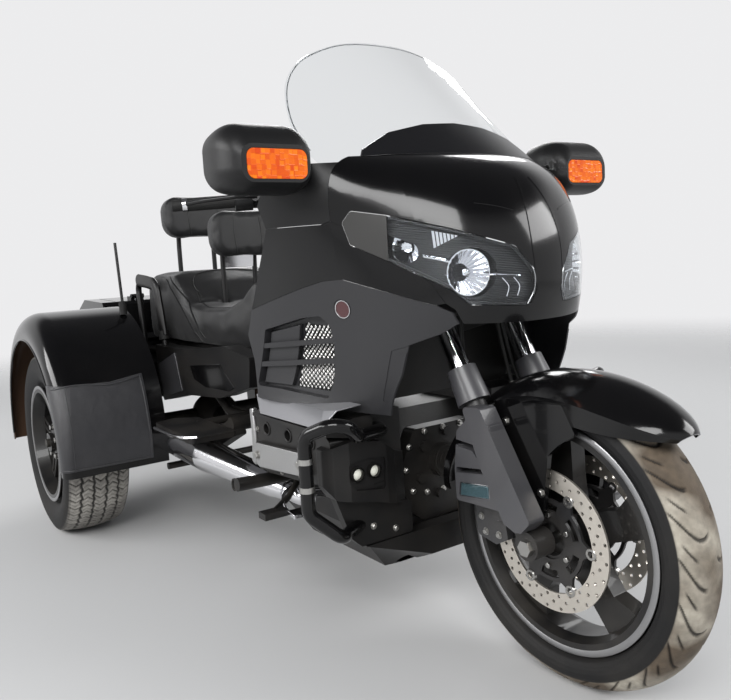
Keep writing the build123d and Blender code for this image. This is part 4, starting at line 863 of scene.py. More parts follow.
slider_black = finish("slider_black", "steel_dark", (0.012, 0.012, 0.013), 0.4, spec=0.4,
                      grain=(700, 0.0001), dust=0.15)
cover_grey = finish("cover_grey", "cover_grey", COVER_GREY, 0.36, spec=0.5, coat=0.15,
                    grain=(1200, 0.00003), dust=0.08)
dress(slider_black, "fork_sliders")
dress(chrome, "fork_tubes")
dress(cover_grey, "fork_covers")
bolt_zinc = finish("bolt_zinc", "chrome", (0.40, 0.395, 0.38), 0.28, metal=1.0,
                   grain=(300, 0.0001), dust=0.15)
dress(bolt_zinc, "front_axle")
lens_box = slab_shape([station(x, REFLECTOR_Y, z) for x, z in REFLECTOR], (0, REFLECTOR_DEPTH, 0))
bezel = [station(x * BEZEL_LONGER + BEZEL_AHEAD, REFLECTOR_Y + BEZEL_BEHIND,
                 REFLECTOR_MIDDLE_Z + (z - REFLECTOR_MIDDLE_Z) * BEZEL_TALLER)
         for x, z in REFLECTOR]
frame_box = slab_shape(bezel, (0, REFLECTOR_DEPTH, 0))
reflector_glass = finish("reflector_glass", "clear_lens", (0.07, 0.13, 0.15), 0.12, metal=0.6,
                         coat=1.0, grain=(500, 0.0008), dust=0.02)
fitted("side_reflectors", twin([lens_box]), "steering", reflector_glass, 0.0015)
fitted("reflector_frames", twin([frame_box]), "steering", chrome, 0.0015)

hose_black = finish("hose_black", "rubber", (0.012, 0.012, 0.012), 0.5, spec=0.3,
                    grain=(900, 0.0002))
hoses, clips = [], []
for run in HOSES:
    path = smooth_path([station(*p) for p in run])
    hoses.append(tube_shape(path, HOSE_R, 10))
    for step in CLIP_STEPS:
        clips.append(turned_shape(CLIP, path[step], path[step + 1] - path[step], 12))
fitted("brake_hoses", twin(hoses), "steering", hose_black)
fitted("hose_clips", twin(clips), "steering", bolt_zinc)

# Front fender
# A gloss black moulded fender over the wheel, with a wing down each side. Two plated bolts a
# side hold it to the sliders.
FENDER_BOLTS = [(-88, 558), (3, 424)]
# The radius and the height of the bolt's head, here and in each other value that ends in HEAD
FENDER_HEAD = (0.0072, 0.006)
WING_FACE_Y = -92


def hex_bolt(place, aim, radius, height):
    """A washer and a six-sided head with a bevelled top edge, on an axis through place."""
    washer = turned_shape([(0, 0), (0, radius * 1.35), (0.0012, radius * 1.35), (0.0012, 0)],
                          place, aim, 20)
    head = turned_shape([(0.0012, 0), (0.0012, radius), (height * 0.85, radius),
                         (height, radius * 0.8), (height, 0)], place, aim, 6)
    return [washer, head]


dress(gloss_black, "front_fender")
bolts = []
for x, z in FENDER_BOLTS:
    bolts += hex_bolt(station(x, WING_FACE_Y, z), (0, -1, 0), *FENDER_HEAD)
fitted("fender_bolts", twin(bolts), "steering", bolt_zinc)

# Front rim
# A satin black cast wheel with five broad swept blades. The tyre's seat is turned bright, so a
# silver lip shows round each side.
AXLE = station(0, 0, 320)
LIP_INNER = 0.2275
LIP_OUTER = 0.2418
LIP_Y = 0.0475
LIP_DEPTH = 0.0032

rim_black = finish("rim_black", "rim_black", (0.0055, 0.0055, 0.006), 0.35, spec=0.3, coat=0.2,
                   grain=(900, 0.00006), dust=0.10)
rim_silver = finish("rim_silver", "frame_alloy", (0.32, 0.32, 0.325), 0.3, metal=0.9,
                    grain=(900, 0.0001), dust=0.10)
dress(rim_black, "front_rim", "rear_rim_right", "rear_rim_left")


def lip_ring(centre, inner, outer, out):
    """A turned lip: a flat ring with bevelled edges, facing along out."""
    profile = [(0, inner), (0, outer), (LIP_DEPTH * 0.7, outer), (LIP_DEPTH, outer - 0.0015),
               (LIP_DEPTH, inner + 0.002), (LIP_DEPTH * 0.6, inner), (0, inner)]
    return turned_shape(profile, centre, out, 128)


lips = []
for out in (-1, 1):
    lips.append(lip_ring(AXLE + np.array([0, out * LIP_Y, 0]), LIP_INNER, LIP_OUTER, (0, out, 0)))
fitted("front_lips", lips, "front_wheel", rim_silver)

# Front tyre
# A road tyre on an 18 inch rim: dark ribbed sidewalls, and a rounded tread with long curved
# grooves, brown with dust where it has run. It is one revolved section with the grooves cut in.
TYRE_R = 0.320
TYRE_HALF = 0.065
TYRE_BEAD_R = 0.2275
TYRE_BEAD_Y = 0.034
TYRE_CROWN = 0.034
TYRE_FOOT = 0.016
WALL_STEPS = 20
TREAD_STEPS = 64
TYRE_TURNS = 840
GROOVES = 22
GROOVE_HALF = 0.0019
GROOVE_DEPTH = 0.0045
GROOVE_EDGE = 0.001
SIDE_RIB = 0.0006
SIDE_RIB_PITCH = 0.011
TREAD_BROWN = (0.115, 0.088, 0.062)
TREAD_CREAM = (0.46, 0.42, 0.35)
WALL_BLACK = (0.0085, 0.0085, 0.009)


def ring_surface(name, grid):
    """Quads between neighbouring points of a rows x columns x 3 array, whose last row joins its
    first and whose last column joins its first."""
    rows, columns = grid.shape[:2]
    index = np.arange(rows * columns).reshape(rows, columns)
    index = np.vstack([index, index[:1]])
    index = np.hstack([index, index[:, :1]])
    quads = np.stack([index[:-1, :-1], index[:-1, 1:], index[1:, 1:], index[1:, :-1]], axis=-1)
    mesh = bpy.data.meshes.new(name)
    mesh.from_pydata(grid.reshape(-1, 3).tolist(), [], quads.reshape(-1, 4).tolist())
    mesh.shade_smooth()
    return mesh


def arc_through(first, middle, last, count):
    """Points evenly spaced along the circle through three points of a section, as complex
    numbers. The centre solves the two lines that bisect the chords."""
    a, b, c = (complex(*point) for point in (first, middle, last))
    w = (c - a) / (b - a)
    centre = a + (b - a) * (w - abs(w) ** 2) / (2j * w.imag)
    start = np.angle(a - centre)
    sweep = np.angle((c - centre) / (a - centre))
    half = np.angle((b - centre) / (a - centre))
    if sweep * half < 0 or abs(half) > abs(sweep):
        sweep -= math.copysign(2 * math.pi, sweep)
    return centre + abs(a - centre) * np.exp(1j * (start + sweep * np.linspace(0, 1, count)))


def tyre_section(radius, half, bead_r, bead_y, crown, wall_count, tread_count):
    """A tyre's outline as (y, radius): wall arc up, tread arc over, wall arc down."""
    wall_r = bead_r + (radius - bead_r) * 0.42
    edge = (half * 0.93, radius - crown)
    foot = (bead_y, bead_r + TYRE_FOOT)
    left = arc_through((-foot[0], foot[1]), (-half, wall_r), (-edge[0], edge[1]), wall_count)
    over = arc_through((-edge[0], edge[1]), (0, radius), edge, tread_count)
    down = arc_through(edge, (half, wall_r), foot, wall_count)
    ends = [complex(-bead_y, bead_r)], [complex(bead_y, bead_r)]
    return np.concatenate([ends[0], left, over[1:-1], down, ends[1]])


def tyre_mesh(name, centre, section, relief, turns):
    """The section turned about the axle. Each point moves along the section's own normal by
    relief(angle, y, radius), which also returns how dusty the spot is."""
    tangent = np.gradient(section)
    normal = 1j * tangent / np.abs(tangent)
    angle = np.linspace(0, 2 * math.pi, turns, endpoint=False)[:, None]
    y = section.real[None, :]
    r = section.imag[None, :]
    depth, dust = relief(angle, y, r)
    y = y + depth * normal.real
    r = r + depth * normal.imag
    grid = np.stack([centre[0] + r * np.cos(angle), centre[1] + y + 0 * angle,
                     centre[2] + r * np.sin(angle)], axis=-1)
    mesh = ring_surface(name, grid)
    mesh.attributes.new("dust", "FLOAT", "POINT").data.foreach_set("value", dust.ravel())
    return mesh


def saw(value):
    """The distance to the nearest whole number."""
    return np.abs(value - np.round(value))


def front_relief(angle, y, r):
    """Grooves run from near the middle out and back on a curve, every second one longer, with a
    short thin one between two, and the two sides are half a step apart. Each cut has a flat bottom
    and slanted sides. Thin ribs, a clipped cosine of the radius, ring the sidewalls."""
    across = np.abs(y) / TYRE_HALF
    side = np.where(y > 0, 0.5, 0.0)
    step = 2 * math.pi / GROOVES
    turn = angle / step + side
    sweep = 0.95 * across ** 1.7 - 0.45 * np.sin(across * 2.6)
    near = saw(turn - sweep) * step * TYRE_R * 0.6
    number = np.round(turn - sweep) % 2
    begins = np.where(number > 0.5, 0.08, 0.30)
    inside = np.clip((across - begins) * 14, 0, 1) * np.clip((0.95 - across) * 14, 0, 1)
    cut = np.clip((GROOVE_HALF - near) / GROOVE_EDGE + 1, 0, 1) * inside
    short = saw(turn - sweep * 0.9 + 0.5) * step * TYRE_R * 0.6
    middle = np.clip((across - 0.52) * 14, 0, 1) * np.clip((0.84 - across) * 14, 0, 1)
    cut = np.maximum(cut, np.clip((GROOVE_HALF * 0.7 - short) / GROOVE_EDGE + 1, 0, 1) * middle)
    tread = np.clip((r - (TYRE_R - TYRE_CROWN)) * 400, 0, 1)
    cut = cut * tread
    wall = (r < TYRE_R - TYRE_CROWN - 0.004) & (r > TYRE_BEAD_R + 0.018)
    ribs = np.clip(np.cos((r - 0.25) * 2 * math.pi / SIDE_RIB_PITCH) * 3, -1, 1)
    ribs = SIDE_RIB * ribs * wall
    dust = tread * (1 - 0.85 * cut) + 0 * angle
    return -GROOVE_DEPTH * cut + ribs, dust


def tyre_finish(name, slot, tread_colour, worn_colour, wall_colour):
    """Rubber that is dusty where the piece's dust attribute says. The dust is darker or paler in
    wide patches, and thin in small ones."""
    material = finish(name, slot, wall_colour, 0.6, spec=0.22, grain=(900, 0.0004), dust=0.05,
                      level=0.5)
    tree = material.node_tree
    link = tree.links.new
    shader = tree.nodes["Principled BSDF"]
    dark = shader.inputs["Base Color"].links[0].from_socket
    worn = tree.nodes.new("ShaderNodeAttribute")
    worn.attribute_name = "dust"
    place = tree.nodes.new("ShaderNodeTexCoord")
    patches = tree.nodes.new("ShaderNodeTexNoise")
    patches.inputs["Scale"].default_value = 60
    patches.inputs["Detail"].default_value = 8
    uneven = tree.nodes.new("ShaderNodeMapRange")
    uneven.inputs["From Min"].default_value = 0.25
    uneven.inputs["From Max"].default_value = 0.7
    uneven.inputs["To Min"].default_value = 0.6
    uneven.inputs["To Max"].default_value = 1.0
    wide = tree.nodes.new("ShaderNodeTexNoise")
    wide.inputs["Scale"].default_value = 7
    paler = tree.nodes.new("ShaderNodeMapRange")
    paler.inputs["From Min"].default_value = 0.42
    paler.inputs["From Max"].default_value = 0.62
    two = tree.nodes.new("ShaderNodeMix")
    two.data_type = "RGBA"
    two.inputs["A"].default_value = (*tread_colour, 1)
    two.inputs["B"].default_value = (*worn_colour, 1)
    share = tree.nodes.new("ShaderNodeMath")
    share.operation = "MULTIPLY"
    tint = tree.nodes.new("ShaderNodeMix")
    tint.data_type = "RGBA"
    link(place.outputs["Object"], patches.inputs["Vector"])
    link(place.outputs["Object"], wide.inputs["Vector"])
    link(wide.outputs["Fac"], paler.inputs["Value"])
    link(paler.outputs[0], two.inputs["Factor"])
    link(patches.outputs["Fac"], uneven.inputs["Value"])
    link(uneven.outputs[0], share.inputs[0])
    link(worn.outputs["Fac"], share.inputs[1])
    link(share.outputs[0], tint.inputs["Factor"])
    link(dark, tint.inputs["A"])
    link(two.outputs["Result"], tint.inputs["B"])
    link(tint.outputs["Result"], shader.inputs["Base Color"])
    return material


section = tyre_section(TYRE_R, TYRE_HALF, TYRE_BEAD_R, TYRE_BEAD_Y, TYRE_CROWN, WALL_STEPS,
                       TREAD_STEPS)
front_tread = tyre_finish("front_tread", "tyre", TREAD_BROWN, TREAD_CREAM, WALL_BLACK)
dress(front_tread, "front_tyre")
mesh = tyre_mesh("front_tyre_tread", AXLE, section, front_relief, TYRE_TURNS)
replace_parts(place_piece("front_tyre_tread", mesh, "front_wheel", front_tread), "front_tyre")

# Brake discs
# Each front disc is a ground steel ring drilled in three staggered rows, held by six bright
# bobbins on a black six-armed carrier with a window between its arms.
DISC_Y = 0.068
DISC_T = 0.0048
DISC_R = 0.148
DISC_INNER_R = 0.109
DISC_ROWS = 3
DISC_CELLS = 48
HOLE_R = 0.0038
BOBBIN_R = 0.106
HUB_BOLT_R = 0.054
HUB_BOLT_TURN = 0.5
HUB_BOLT_OUT = 0.001
ARMS = 6
CARRIER_STEPS = 144
CARRIER_IN = 0.002
CARRIER_HALF = 0.0035
HUB_IN = 0.022
# Along the axle, outwards, and the radius of each turned part, both in metres
HUB = [(0.0, 0.034), (0.0, 0.044), (0.019, 0.046), (0.019, 0.034), (0.0, 0.034)]
BOBBIN = [(-0.004, 0.0062), (-0.004, 0.0118), (0.0035, 0.0122), (0.0045, 0.0112), (0.0045, 0.0070),
          (0.0030, 0.0062), (-0.004, 0.0062)]
HUB_BOLT = [(0, 0.0), (0, 0.0062), (0.006, 0.0062), (0.007, 0.0046), (0.007, 0.0)]


def two_faces(flat, y, half):
    """Points of a flat outline, complex numbers for x and z, at y + half and again at y - half."""
    flat = flat.ravel()
    return np.concatenate([np.stack([flat.real, y + off + 0 * flat.real, flat.imag], axis=-1)
                           for off in (half, -half)])


def holed_ring(y):
    """A flat ring of cells round the axle, eight points to a cell's outline. In every second cell
    they are joined to eight points on a hole's circle: the hole's radius times the direction from
    the cell's middle to the outline's point."""
    step = (DISC_R - DISC_INNER_R) / DISC_ROWS
    turn = 2 * math.pi / DISC_CELLS
    corner = np.array([-1 - 1j, -1j, 1 - 1j, 1, 1 + 1j, 1j, -1 + 1j, -1])
    row, cell = np.indices((DISC_ROWS, DISC_CELLS)).reshape(2, -1, 1)
    middle_r = DISC_INNER_R + (row + 0.5) * step
    middle_a = (cell + 0.5) * turn
    outline = middle_r + corner.real * step / 2
    outline = outline * np.exp(1j * (middle_a + corner.imag * turn / 2))
    circle = (middle_r + HOLE_R * corner / np.abs(corner)) * np.exp(1j * middle_a)
    holed = (row + cell)[:, 0] % 2 == 1
    flat = np.concatenate([outline, circle[holed]])
    count = flat.size
    index = np.arange(count).reshape(-1, 8)
    cells, holes = index[:len(holed)], index[len(holed):]
    after = np.roll(holes, -1, axis=1)
    face = np.stack([cells[holed], np.roll(cells[holed], -1, axis=1), after, holes], axis=-1)
    bore = np.stack([holes, after, after + count, holes + count], axis=-1)
    edge = np.concatenate([cells[:DISC_CELLS, [0, 7, 6]], cells[-DISC_CELLS:, [2, 3, 4]]])
    a, b = edge[:, :-1], edge[:, 1:]
    wall = np.stack([a, b, b + count, a + count], axis=-1)
    quads = [part.reshape(-1, 4) for part in (face, face[..., ::-1] + count, bore, wall)]
    plain = cells[~holed]
    faces = np.concatenate(quads).tolist() + plain.tolist() + (plain[:, ::-1] + count).tolist()
    return two_faces(flat, y, DISC_T / 2), faces


def carrier_shape(y):
    """The carrier in polar form: circles of 40 and 62 mm, then two rings of 78 and 86 mm that
    swell by 4 and 19 mm into the arms, a power of the cosine. Quads join each ring to the next,
    but for a window in the middle band where the cosine is low."""
    angle = np.linspace(0, 2 * math.pi, CARRIER_STEPS, endpoint=False)
    wave = np.cos(angle * ARMS)
    arms = np.clip(wave, 0, 1) ** 2.5
    flat = np.stack([0.040 + 0 * arms, 0.062 + 0 * arms, 0.078 + 0.004 * arms,
                     0.086 + 0.019 * arms]) * np.exp(1j * angle)
    count = flat.size
    index = np.arange(count).reshape(flat.shape)
    after = np.roll(index, -1, axis=1)
    low = wave < 0.35
    gap = low & np.roll(low, -1)
    whole = np.ones_like(gap)
    face = np.stack([index[:-1], after[:-1], after[1:], index[1:]], axis=-1)
    face = face[np.array([whole, ~gap, whole])]
    wall = np.stack([index, after, after + count, index + count], axis=-1)
    wall = wall[np.array([whole, gap, gap, whole])]
    place = np.arange(CARRIER_STEPS)
    beside = np.where(low, np.roll(place, -1), place)[low != np.roll(low, -1)]
    a, b = index[1, beside], index[2, beside]
    end = np.stack([a, b, b + count, a + count], axis=-1)
    faces = np.concatenate([face, face[:, ::-1] + count, wall, end]).tolist()
    return two_faces(flat, y, CARRIER_HALF), faces


def shifted(shape, offset):
    """The shape moved by an offset."""
    points, faces = shape
    return (np.asarray(points, float) + offset).tolist(), faces


disc_steel = finish("disc_steel", "disc_steel", (0.62, 0.58, 0.52), 0.38, metal=0.85,
                    grain=(300, 0.00005), dust=0.06)
carrier_black = finish("carrier_black", "steel_dark", (0.014, 0.014, 0.015), 0.4, spec=0.4,
                       dust=0.1)
dress(disc_steel, "brake_discs")
rings, carriers, bobbins = [], [], []
for y in (-DISC_Y, DISC_Y):
    out = math.copysign(1, y)
    rings.append(holed_ring(y))
    carriers.append(carrier_shape(y - out * CARRIER_IN))
    carriers.append(turned_shape(HUB, (0, y - out * HUB_IN, 0), (0, out, 0), 48))
    for k in range(ARMS):
        a = 2 * math.pi * k / ARMS
        spot = (BOBBIN_R * math.cos(a), y, BOBBIN_R * math.sin(a))
        bobbins.append(turned_shape(BOBBIN, spot, (0, out, 0), 24))
        a += HUB_BOLT_TURN
        spot = (HUB_BOLT_R * math.cos(a), y + out * HUB_BOLT_OUT, HUB_BOLT_R * math.sin(a))
        bobbins.append(turned_shape(HUB_BOLT, spot, (0, out, 0), 6))
disc_pieces = []
for name, shapes, material in (("disc_rings", rings, disc_steel),
                               ("disc_carriers", carriers, carrier_black),
                               ("disc_bobbins", bobbins, bolt_zinc)):
    disc_pieces.append(fitted(name, [shifted(shape, AXLE) for shape in shapes], "front_wheel",
                              material))
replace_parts(disc_pieces[0], "brake_discs")

# Calipers
# Cast grey calipers behind the sliders, each held and pinned by four plated bolts in its outer
# face.
CALIPER_PINS = [(-170, 334), (-120, 344), (-158, 302), (-118, 304)]
CALIPER_HEAD = (0.0062, 0.006)
CALIPER_FACE_Y = -94

caliper_grey = finish("caliper_grey", "engine_alloy", (0.055, 0.055, 0.058), 0.42, metal=0.4,
                      grain=(800, 0.0003), dust=0.15)
dress(caliper_grey, "brake_calipers")
pins = []
for x, z in CALIPER_PINS:
    pins += hex_bolt(station(x, CALIPER_FACE_Y, z), (0, -1, 0), *CALIPER_HEAD)
fitted("caliper_pins", twin(pins), "steering", bolt_zinc)

# Engine and frame
# A black welded frame carries a flat six. Each cylinder head has a cast black cover with three
# ringed plug wells, a bright cast strip bolted at its ends and a silver-grey plate above.
WELLS = [(-625, 508), (-520, 508), (-415, 508)]
WELL_RING = [(0, 0.0128), (0, 0.0175), (0.0022, 0.0168), (0.0030, 0.0145), (0.0022, 0.0128),
             (0, 0.0128)]
COVER_Y = -372
STRIP_FACE_Y = -384
STRIP_DEPTH = 0.004
STRIP = [(-672, 464), (-660, 470), (-446, 482), (-434, 474), (-428, 436), (-440, 428), (-650, 410),
         (-664, 416)]
STRIP_BOLTS = [(-655, 440), (-446, 455)]
STRIP_HEAD = (0.0085, 0.008)
REAR_BEVEL = [(-706, 548), (-688, 552), (-683, 470), (-692, 404), (-712, 412), (-702, 470)]
BEVEL_FACE_Y = -378
BEVEL_DEPTH = 0.014
SHIELD_POINTS = {
    "low_rear": (-630, -386, 549), "low_front": (-352, -386, 550),
    "top_rear": (-606, -352, 582), "top_front": (-386, -352, 582),
    "end_rear": (-690, -362, 586), "end_front": (-316, -362, 594),
    "back_rear": (-690, -300, 592), "back_front": (-316, -300, 598),
}
SHIELD_SKINS = [
    ("low_rear", "low_front", "top_front", "top_rear"), ("low_rear", "top_rear", "end_rear"),
    ("low_front", "end_front", "top_front"), ("top_rear", "top_front", "back_front", "back_rear"),
    ("top_rear", "back_rear", "end_rear"), ("top_front", "end_front", "back_front"),
]
SHIELD_WALL = 0.003
COVER_BOLTS = [(-676, 500), (-676, 420), (-350, 500), (-352, 440), (-560, 412), (-470, 420)]
COVER_HEAD = (0.005, 0.005)

frame_black = finish("frame_black", "steel_dark", (0.005, 0.005, 0.0055), 0.38, spec=0.28,
                     grain=(500, 0.0002), dust=0.15)
cover_black = finish("cover_black", "satin_black", (0.0055, 0.0055, 0.006), 0.34, spec=0.3,
                     grain=(900, 0.0001), dust=0.1)
cast_bright = finish("cast_bright", "engine_alloy", (0.42, 0.42, 0.42), 0.40, metal=0.9,
                     grain=(500, 0.0006), dust=0.1)
plate_silver = finish("plate_silver", "frame_alloy", (0.30, 0.30, 0.315), 0.3, metal=0.5,
                      grain=(1500, 0.00004), dust=0.06)
dress(frame_black, "frame_spars", "radiators", "fairing_stay")
dress(cast_black, "engine_block")
dress(cover_black, "cylinder_head_covers")

rings = []
for x, z in WELLS:
    rings.append(turned_shape(WELL_RING, station(x, COVER_Y, z), (0, -1, 0), 32))
fitted("well_rings", twin(rings), "chassis", cover_black)
strip = [station(x, STRIP_FACE_Y, z) for x, z in STRIP]
bevel = [station(x, BEVEL_FACE_Y, z) for x, z in REAR_BEVEL]
fitted("head_strips", twin([slab_shape(strip, (0, -STRIP_DEPTH, 0))]), "chassis", cast_bright,
       0.0016)
fitted("head_bevels", twin([slab_shape(bevel, (0, BEVEL_DEPTH, 0))]), "chassis", cast_bright,
       0.003)

corners = [station(*place) for place in SHIELD_POINTS.values()]
number = {key: k for k, key in enumerate(SHIELD_POINTS)}
faces = [tuple(number[key] for key in skin) for skin in SHIELD_SKINS]
plates = place_piece("head_plates", join_meshes("head_plates", twin([(corners, faces)])),
                     "chassis", plate_silver)
shade_by_angle(plates, 15)
wall = plates.modifiers.new("wall", "SOLIDIFY")
wall.thickness = SHIELD_WALL
wall.offset = -1
rounding = plates.modifiers.new("rounding", "BEVEL")
rounding.width = 0.0012
rounding.segments = 2

strip_out = STRIP_FACE_Y - STRIP_DEPTH * 1000
bolts = []
for x, z in STRIP_BOLTS:
    bolts += hex_bolt(station(x, strip_out, z), (0, -1, 0), *STRIP_HEAD)
for x, z in COVER_BOLTS:
    bolts += hex_bolt(station(x, COVER_Y, z), (0, -1, 0), *COVER_HEAD)
fitted("head_bolts", twin(bolts), "chassis", bolt_zinc)

# Timing cover
# A black cast cover on the engine's front, with a ringed boss and bright bolts round its edge.
TIMING_X = -397.5
TIMING_BOLTS = [(-112, 452), (-63, 483), (-4, 484), (52, 484), (108, 456), (-106, 341), (-62, 330),
                (-11, 327), (46, 330), (100, 341), (-124, 396), (122, 396)]
TIMING_HEAD = (0.0062, 0.007)
BOSS = (-376, -9, 404)
BOSS_RINGS = (0.010, 0.022, 0.036)

dress(cover_black, "timing_cover")
bolts = []
for y, z in TIMING_BOLTS:
    bolts += hex_bolt(station(TIMING_X, y, z), (1, 0, 0), *TIMING_HEAD)
fitted("timing_bolts", bolts, "chassis", bolt_zinc)
boss_rings = []
for inner in BOSS_RINGS:
    ridge = [(0, inner), (0, inner + 0.004), (0.0025, inner + 0.003), (0.0025, inner + 0.001),
             (0, inner)]
    boss_rings.append(turned_shape(ridge, station(*BOSS), (1, 0, 0), 40))
fitted("boss_rings", boss_rings, "chassis", cover_black)

# Lamp pods and fog lamps
# Satin black moulded pods ahead of the heads, each with two small round lamps in bright bezels
# and two drain slots in its sunken face, drawn as thin black slabs of painted shade. The lamps
# glow a little. The belly cowl is moulded alike.
FOG_PLACES = [(-271, 443), (-316, 443)]
FOG_R = 0.0155
FOG_LENS = [(0, 0), (0, FOG_R - 0.002), (0.004, FOG_R - 0.002), (0.007, FOG_R * 0.6), (0.008, 0)]
FOG_LENS_X = -328
FOG_BEZEL = [(0, FOG_R - 0.0015), (0, FOG_R + 0.0015), (0.003, FOG_R + 0.001),
             (0.003, FOG_R - 0.0015), (0, FOG_R - 0.0015)]
FOG_BEZEL_X = -319
FOG_GLOW = (1, 1, 0.85, 1)
FOG_GLOW_LEVEL = 0.12
POD_SLOTS = [(-248, 412), (-262, 400)]
POD_FACE_X = -324
BELLY_BOLTS = [(-348, -262, 306), (-348, -200, 286)]
BELLY_HEAD = (0.006, 0.006)

pod_black = finish("pod_black", "satin_black", (0.005, 0.005, 0.0055), 0.4, spec=0.3,
                   grain=(900, 0.0001), dust=0.06)
dress(pod_black, "lamp_pods", "belly_cowl")
dress(cover_black, "fog_lamps")
lamps, bezels, slot_shades = [], [], []
for y, z in FOG_PLACES:
    lamps.append(turned_shape(FOG_LENS, station(FOG_LENS_X, y, z), (1, 0, 0), 28))
    bezels.append(turned_shape(FOG_BEZEL, station(FOG_BEZEL_X, y, z), (1, 0, 0), 28))
for y, z in POD_SLOTS:
    ends = [(y + 13, z + 4), (y - 22, z + 1), (y - 22, z - 3), (y + 13, z)]
    slot_shades.append(slab_shape([station(POD_FACE_X, a, b) for a, b in ends], (0.0006, 0, 0)))
fog_white = finish("fog_white", "clear_lens", (0.88, 0.88, 0.78), 0.2, coat=1.0,
                   grain=(700, 0.0006), dust=0.03)
shader = fog_white.node_tree.nodes["Principled BSDF"]
shader.inputs["Emission Color"].default_value = FOG_GLOW
shader.inputs["Emission Strength"].default_value = FOG_GLOW_LEVEL
fitted("fog_emitters", twin(lamps), "chassis", fog_white)
fitted("fog_bezels", twin(bezels), "chassis", bolt_zinc)
# The drain slots are thin black slabs on the face: painted shade for the dark inside them
fitted("pod_slot_shades", twin(slot_shades), "chassis", shade_black)
belly_bolts = []
for place in BELLY_BOLTS:
    belly_bolts += hex_bolt(station(*place), (1, 0, 0), *BELLY_HEAD)
fitted("belly_bolts", twin(belly_bolts), "chassis", bolt_zinc)

# Engine guards
# Bent black tubes round the heads, with two bright clamp bands on each upright.
CLAMP_HEIGHTS = (500, 440)
GUARD_PLACE = (-316, -446)
GUARD_R = 0.015
BAND = [(-0.006, GUARD_R - 0.001), (-0.006, GUARD_R + 0.0015), (0.006, GUARD_R + 0.0015),
        (0.006, GUARD_R - 0.001), (-0.006, GUARD_R - 0.001)]

dress(gloss_black, "engine_guards")
bands = []
for z in CLAMP_HEIGHTS:
    bands.append(turned_shape(BAND, station(*GUARD_PLACE, z), (0, 0, 1), 28))
fitted("guard_bands", twin(bands), "chassis", bolt_zinc)

# Exhaust and foot rests
# A chromed muffler each side, the rider's pegs ahead with ribbed rubbers, the passenger's flat
# boards behind with a bright edge, and a polished pedal on the right with its pad.
BOARD_EDGE = [(-1240, -444, 428), (-1120, -450, 432), (-1010, -446, 436), (-958, -420, 440)]
BOARD_EDGE_R = 0.0045
PEDAL = [(-700, -260, 330), (-640, -330, 330), (-560, -372, 322), (-500, -378, 318)]
PEDAL_R = 0.005
PEDAL_PAD = [(-520, -388, 330), (-520, -350, 330), (-486, -350, 326), (-486, -388, 326)]
PAD_DEPTH = 0.010
PEG_RIBS = 9
PEG_RIB = [(-0.003, 0.012), (-0.003, 0.0165), (0.003, 0.0165), (0.003, 0.012), (-0.003, 0.012)]
PEG_FROM = (-740, -330, 346)
PEG_TO = (-746, -420, 350)

dress(chrome, "exhaust_system")
dress(frame_black, "foot_rests", "rear_links")
board_edge = smooth_path([station(*point) for point in BOARD_EDGE])
fitted("board_edges", twin([tube_shape(board_edge, BOARD_EDGE_R, 8)]), "chassis", chrome)

pedal = tube_shape(smooth_path([station(*point) for point in PEDAL]), PEDAL_R, 8)
pad = slab_shape([station(*point) for point in PEDAL_PAD], (0, 0, -PAD_DEPTH))
fitted("gear_pedal", [pedal, pad], "chassis", chrome, 0.001)
peg_aim = station(*PEG_TO) - station(*PEG_FROM)
ribs = []
for rib in range(PEG_RIBS):
    share = (rib + 0.5) / PEG_RIBS
    spot = station(*PEG_FROM) * (1 - share) + station(*PEG_TO) * share
    ribs.append(turned_shape(PEG_RIB, spot, peg_aim, 20))
fitted("peg_ribs", twin(ribs), "chassis", grip_rubber)

# Rear axle and wheels
# A live axle on trailing arms, black and dusty. The wheels are satin black steel with five
# spokes, a bright turned lip and five plated nuts round a plain cap.
REAR_AXLE = station(-1810, 0, 320)
REAR_TRACK_HALF = 0.550
REAR_LIP_INNER = 0.1935
REAR_LIP_OUTER = 0.2062
REAR_LIP_Y = 0.0972
NUTS = 5
NUT_TURN = 18
NUT_CIRCLE = 0.054
NUT_HEAD = (0.0095, 0.012)
CAP_R = 0.030
CAP = [(0, 0), (0, CAP_R), (0.010, CAP_R * 0.95), (0.016, CAP_R * 0.6), (0.017, 0)]
# Rays start this far out from the wheel's middle, in metres
BESIDE_WHEEL = 0.3

axle_black = finish("axle_black", "steel_dark", (0.006, 0.006, 0.006), 0.5, spec=0.25,
                    grain=(500, 0.0003), dust=0.3, level=0.6)
dress(axle_black, "rear_axle")
for side, out in (("right", -1), ("left", 1)):
    centre = REAR_AXLE + np.array([0, out * REAR_TRACK_HALF, 0])
    rim_tree = shell_tree(nodes[f"rear_rim_{side}"].data)
    lip = lip_ring(centre + np.array([0, out * REAR_LIP_Y, 0]), REAR_LIP_INNER, REAR_LIP_OUTER,
                   (0, out, 0))
    fitted(f"rear_lip_{side}", [lip], f"rear_wheel_{side}", rim_silver)
    beside = centre + np.array([0, out * BESIDE_WHEEL, 0])
    starts = []
    for k in range(NUTS):
        a = math.radians(360 / NUTS * k + NUT_TURN)
        starts.append(beside + np.array([NUT_CIRCLE * math.cos(a), 0, NUT_CIRCLE * math.sin(a)]))
    nuts = []
    for spot in pressed(rim_tree, starts, (0, -out, 0)):
        nuts += hex_bolt(spot, (0, out, 0), *NUT_HEAD)
    for spot in pressed(rim_tree, [beside], (0, -out, 0)):
        nuts.append(turned_shape(CAP, spot, (0, out, 0), 32))
    fitted(f"wheel_nuts_{side}", nuts, f"rear_wheel_{side}", bolt_zinc)

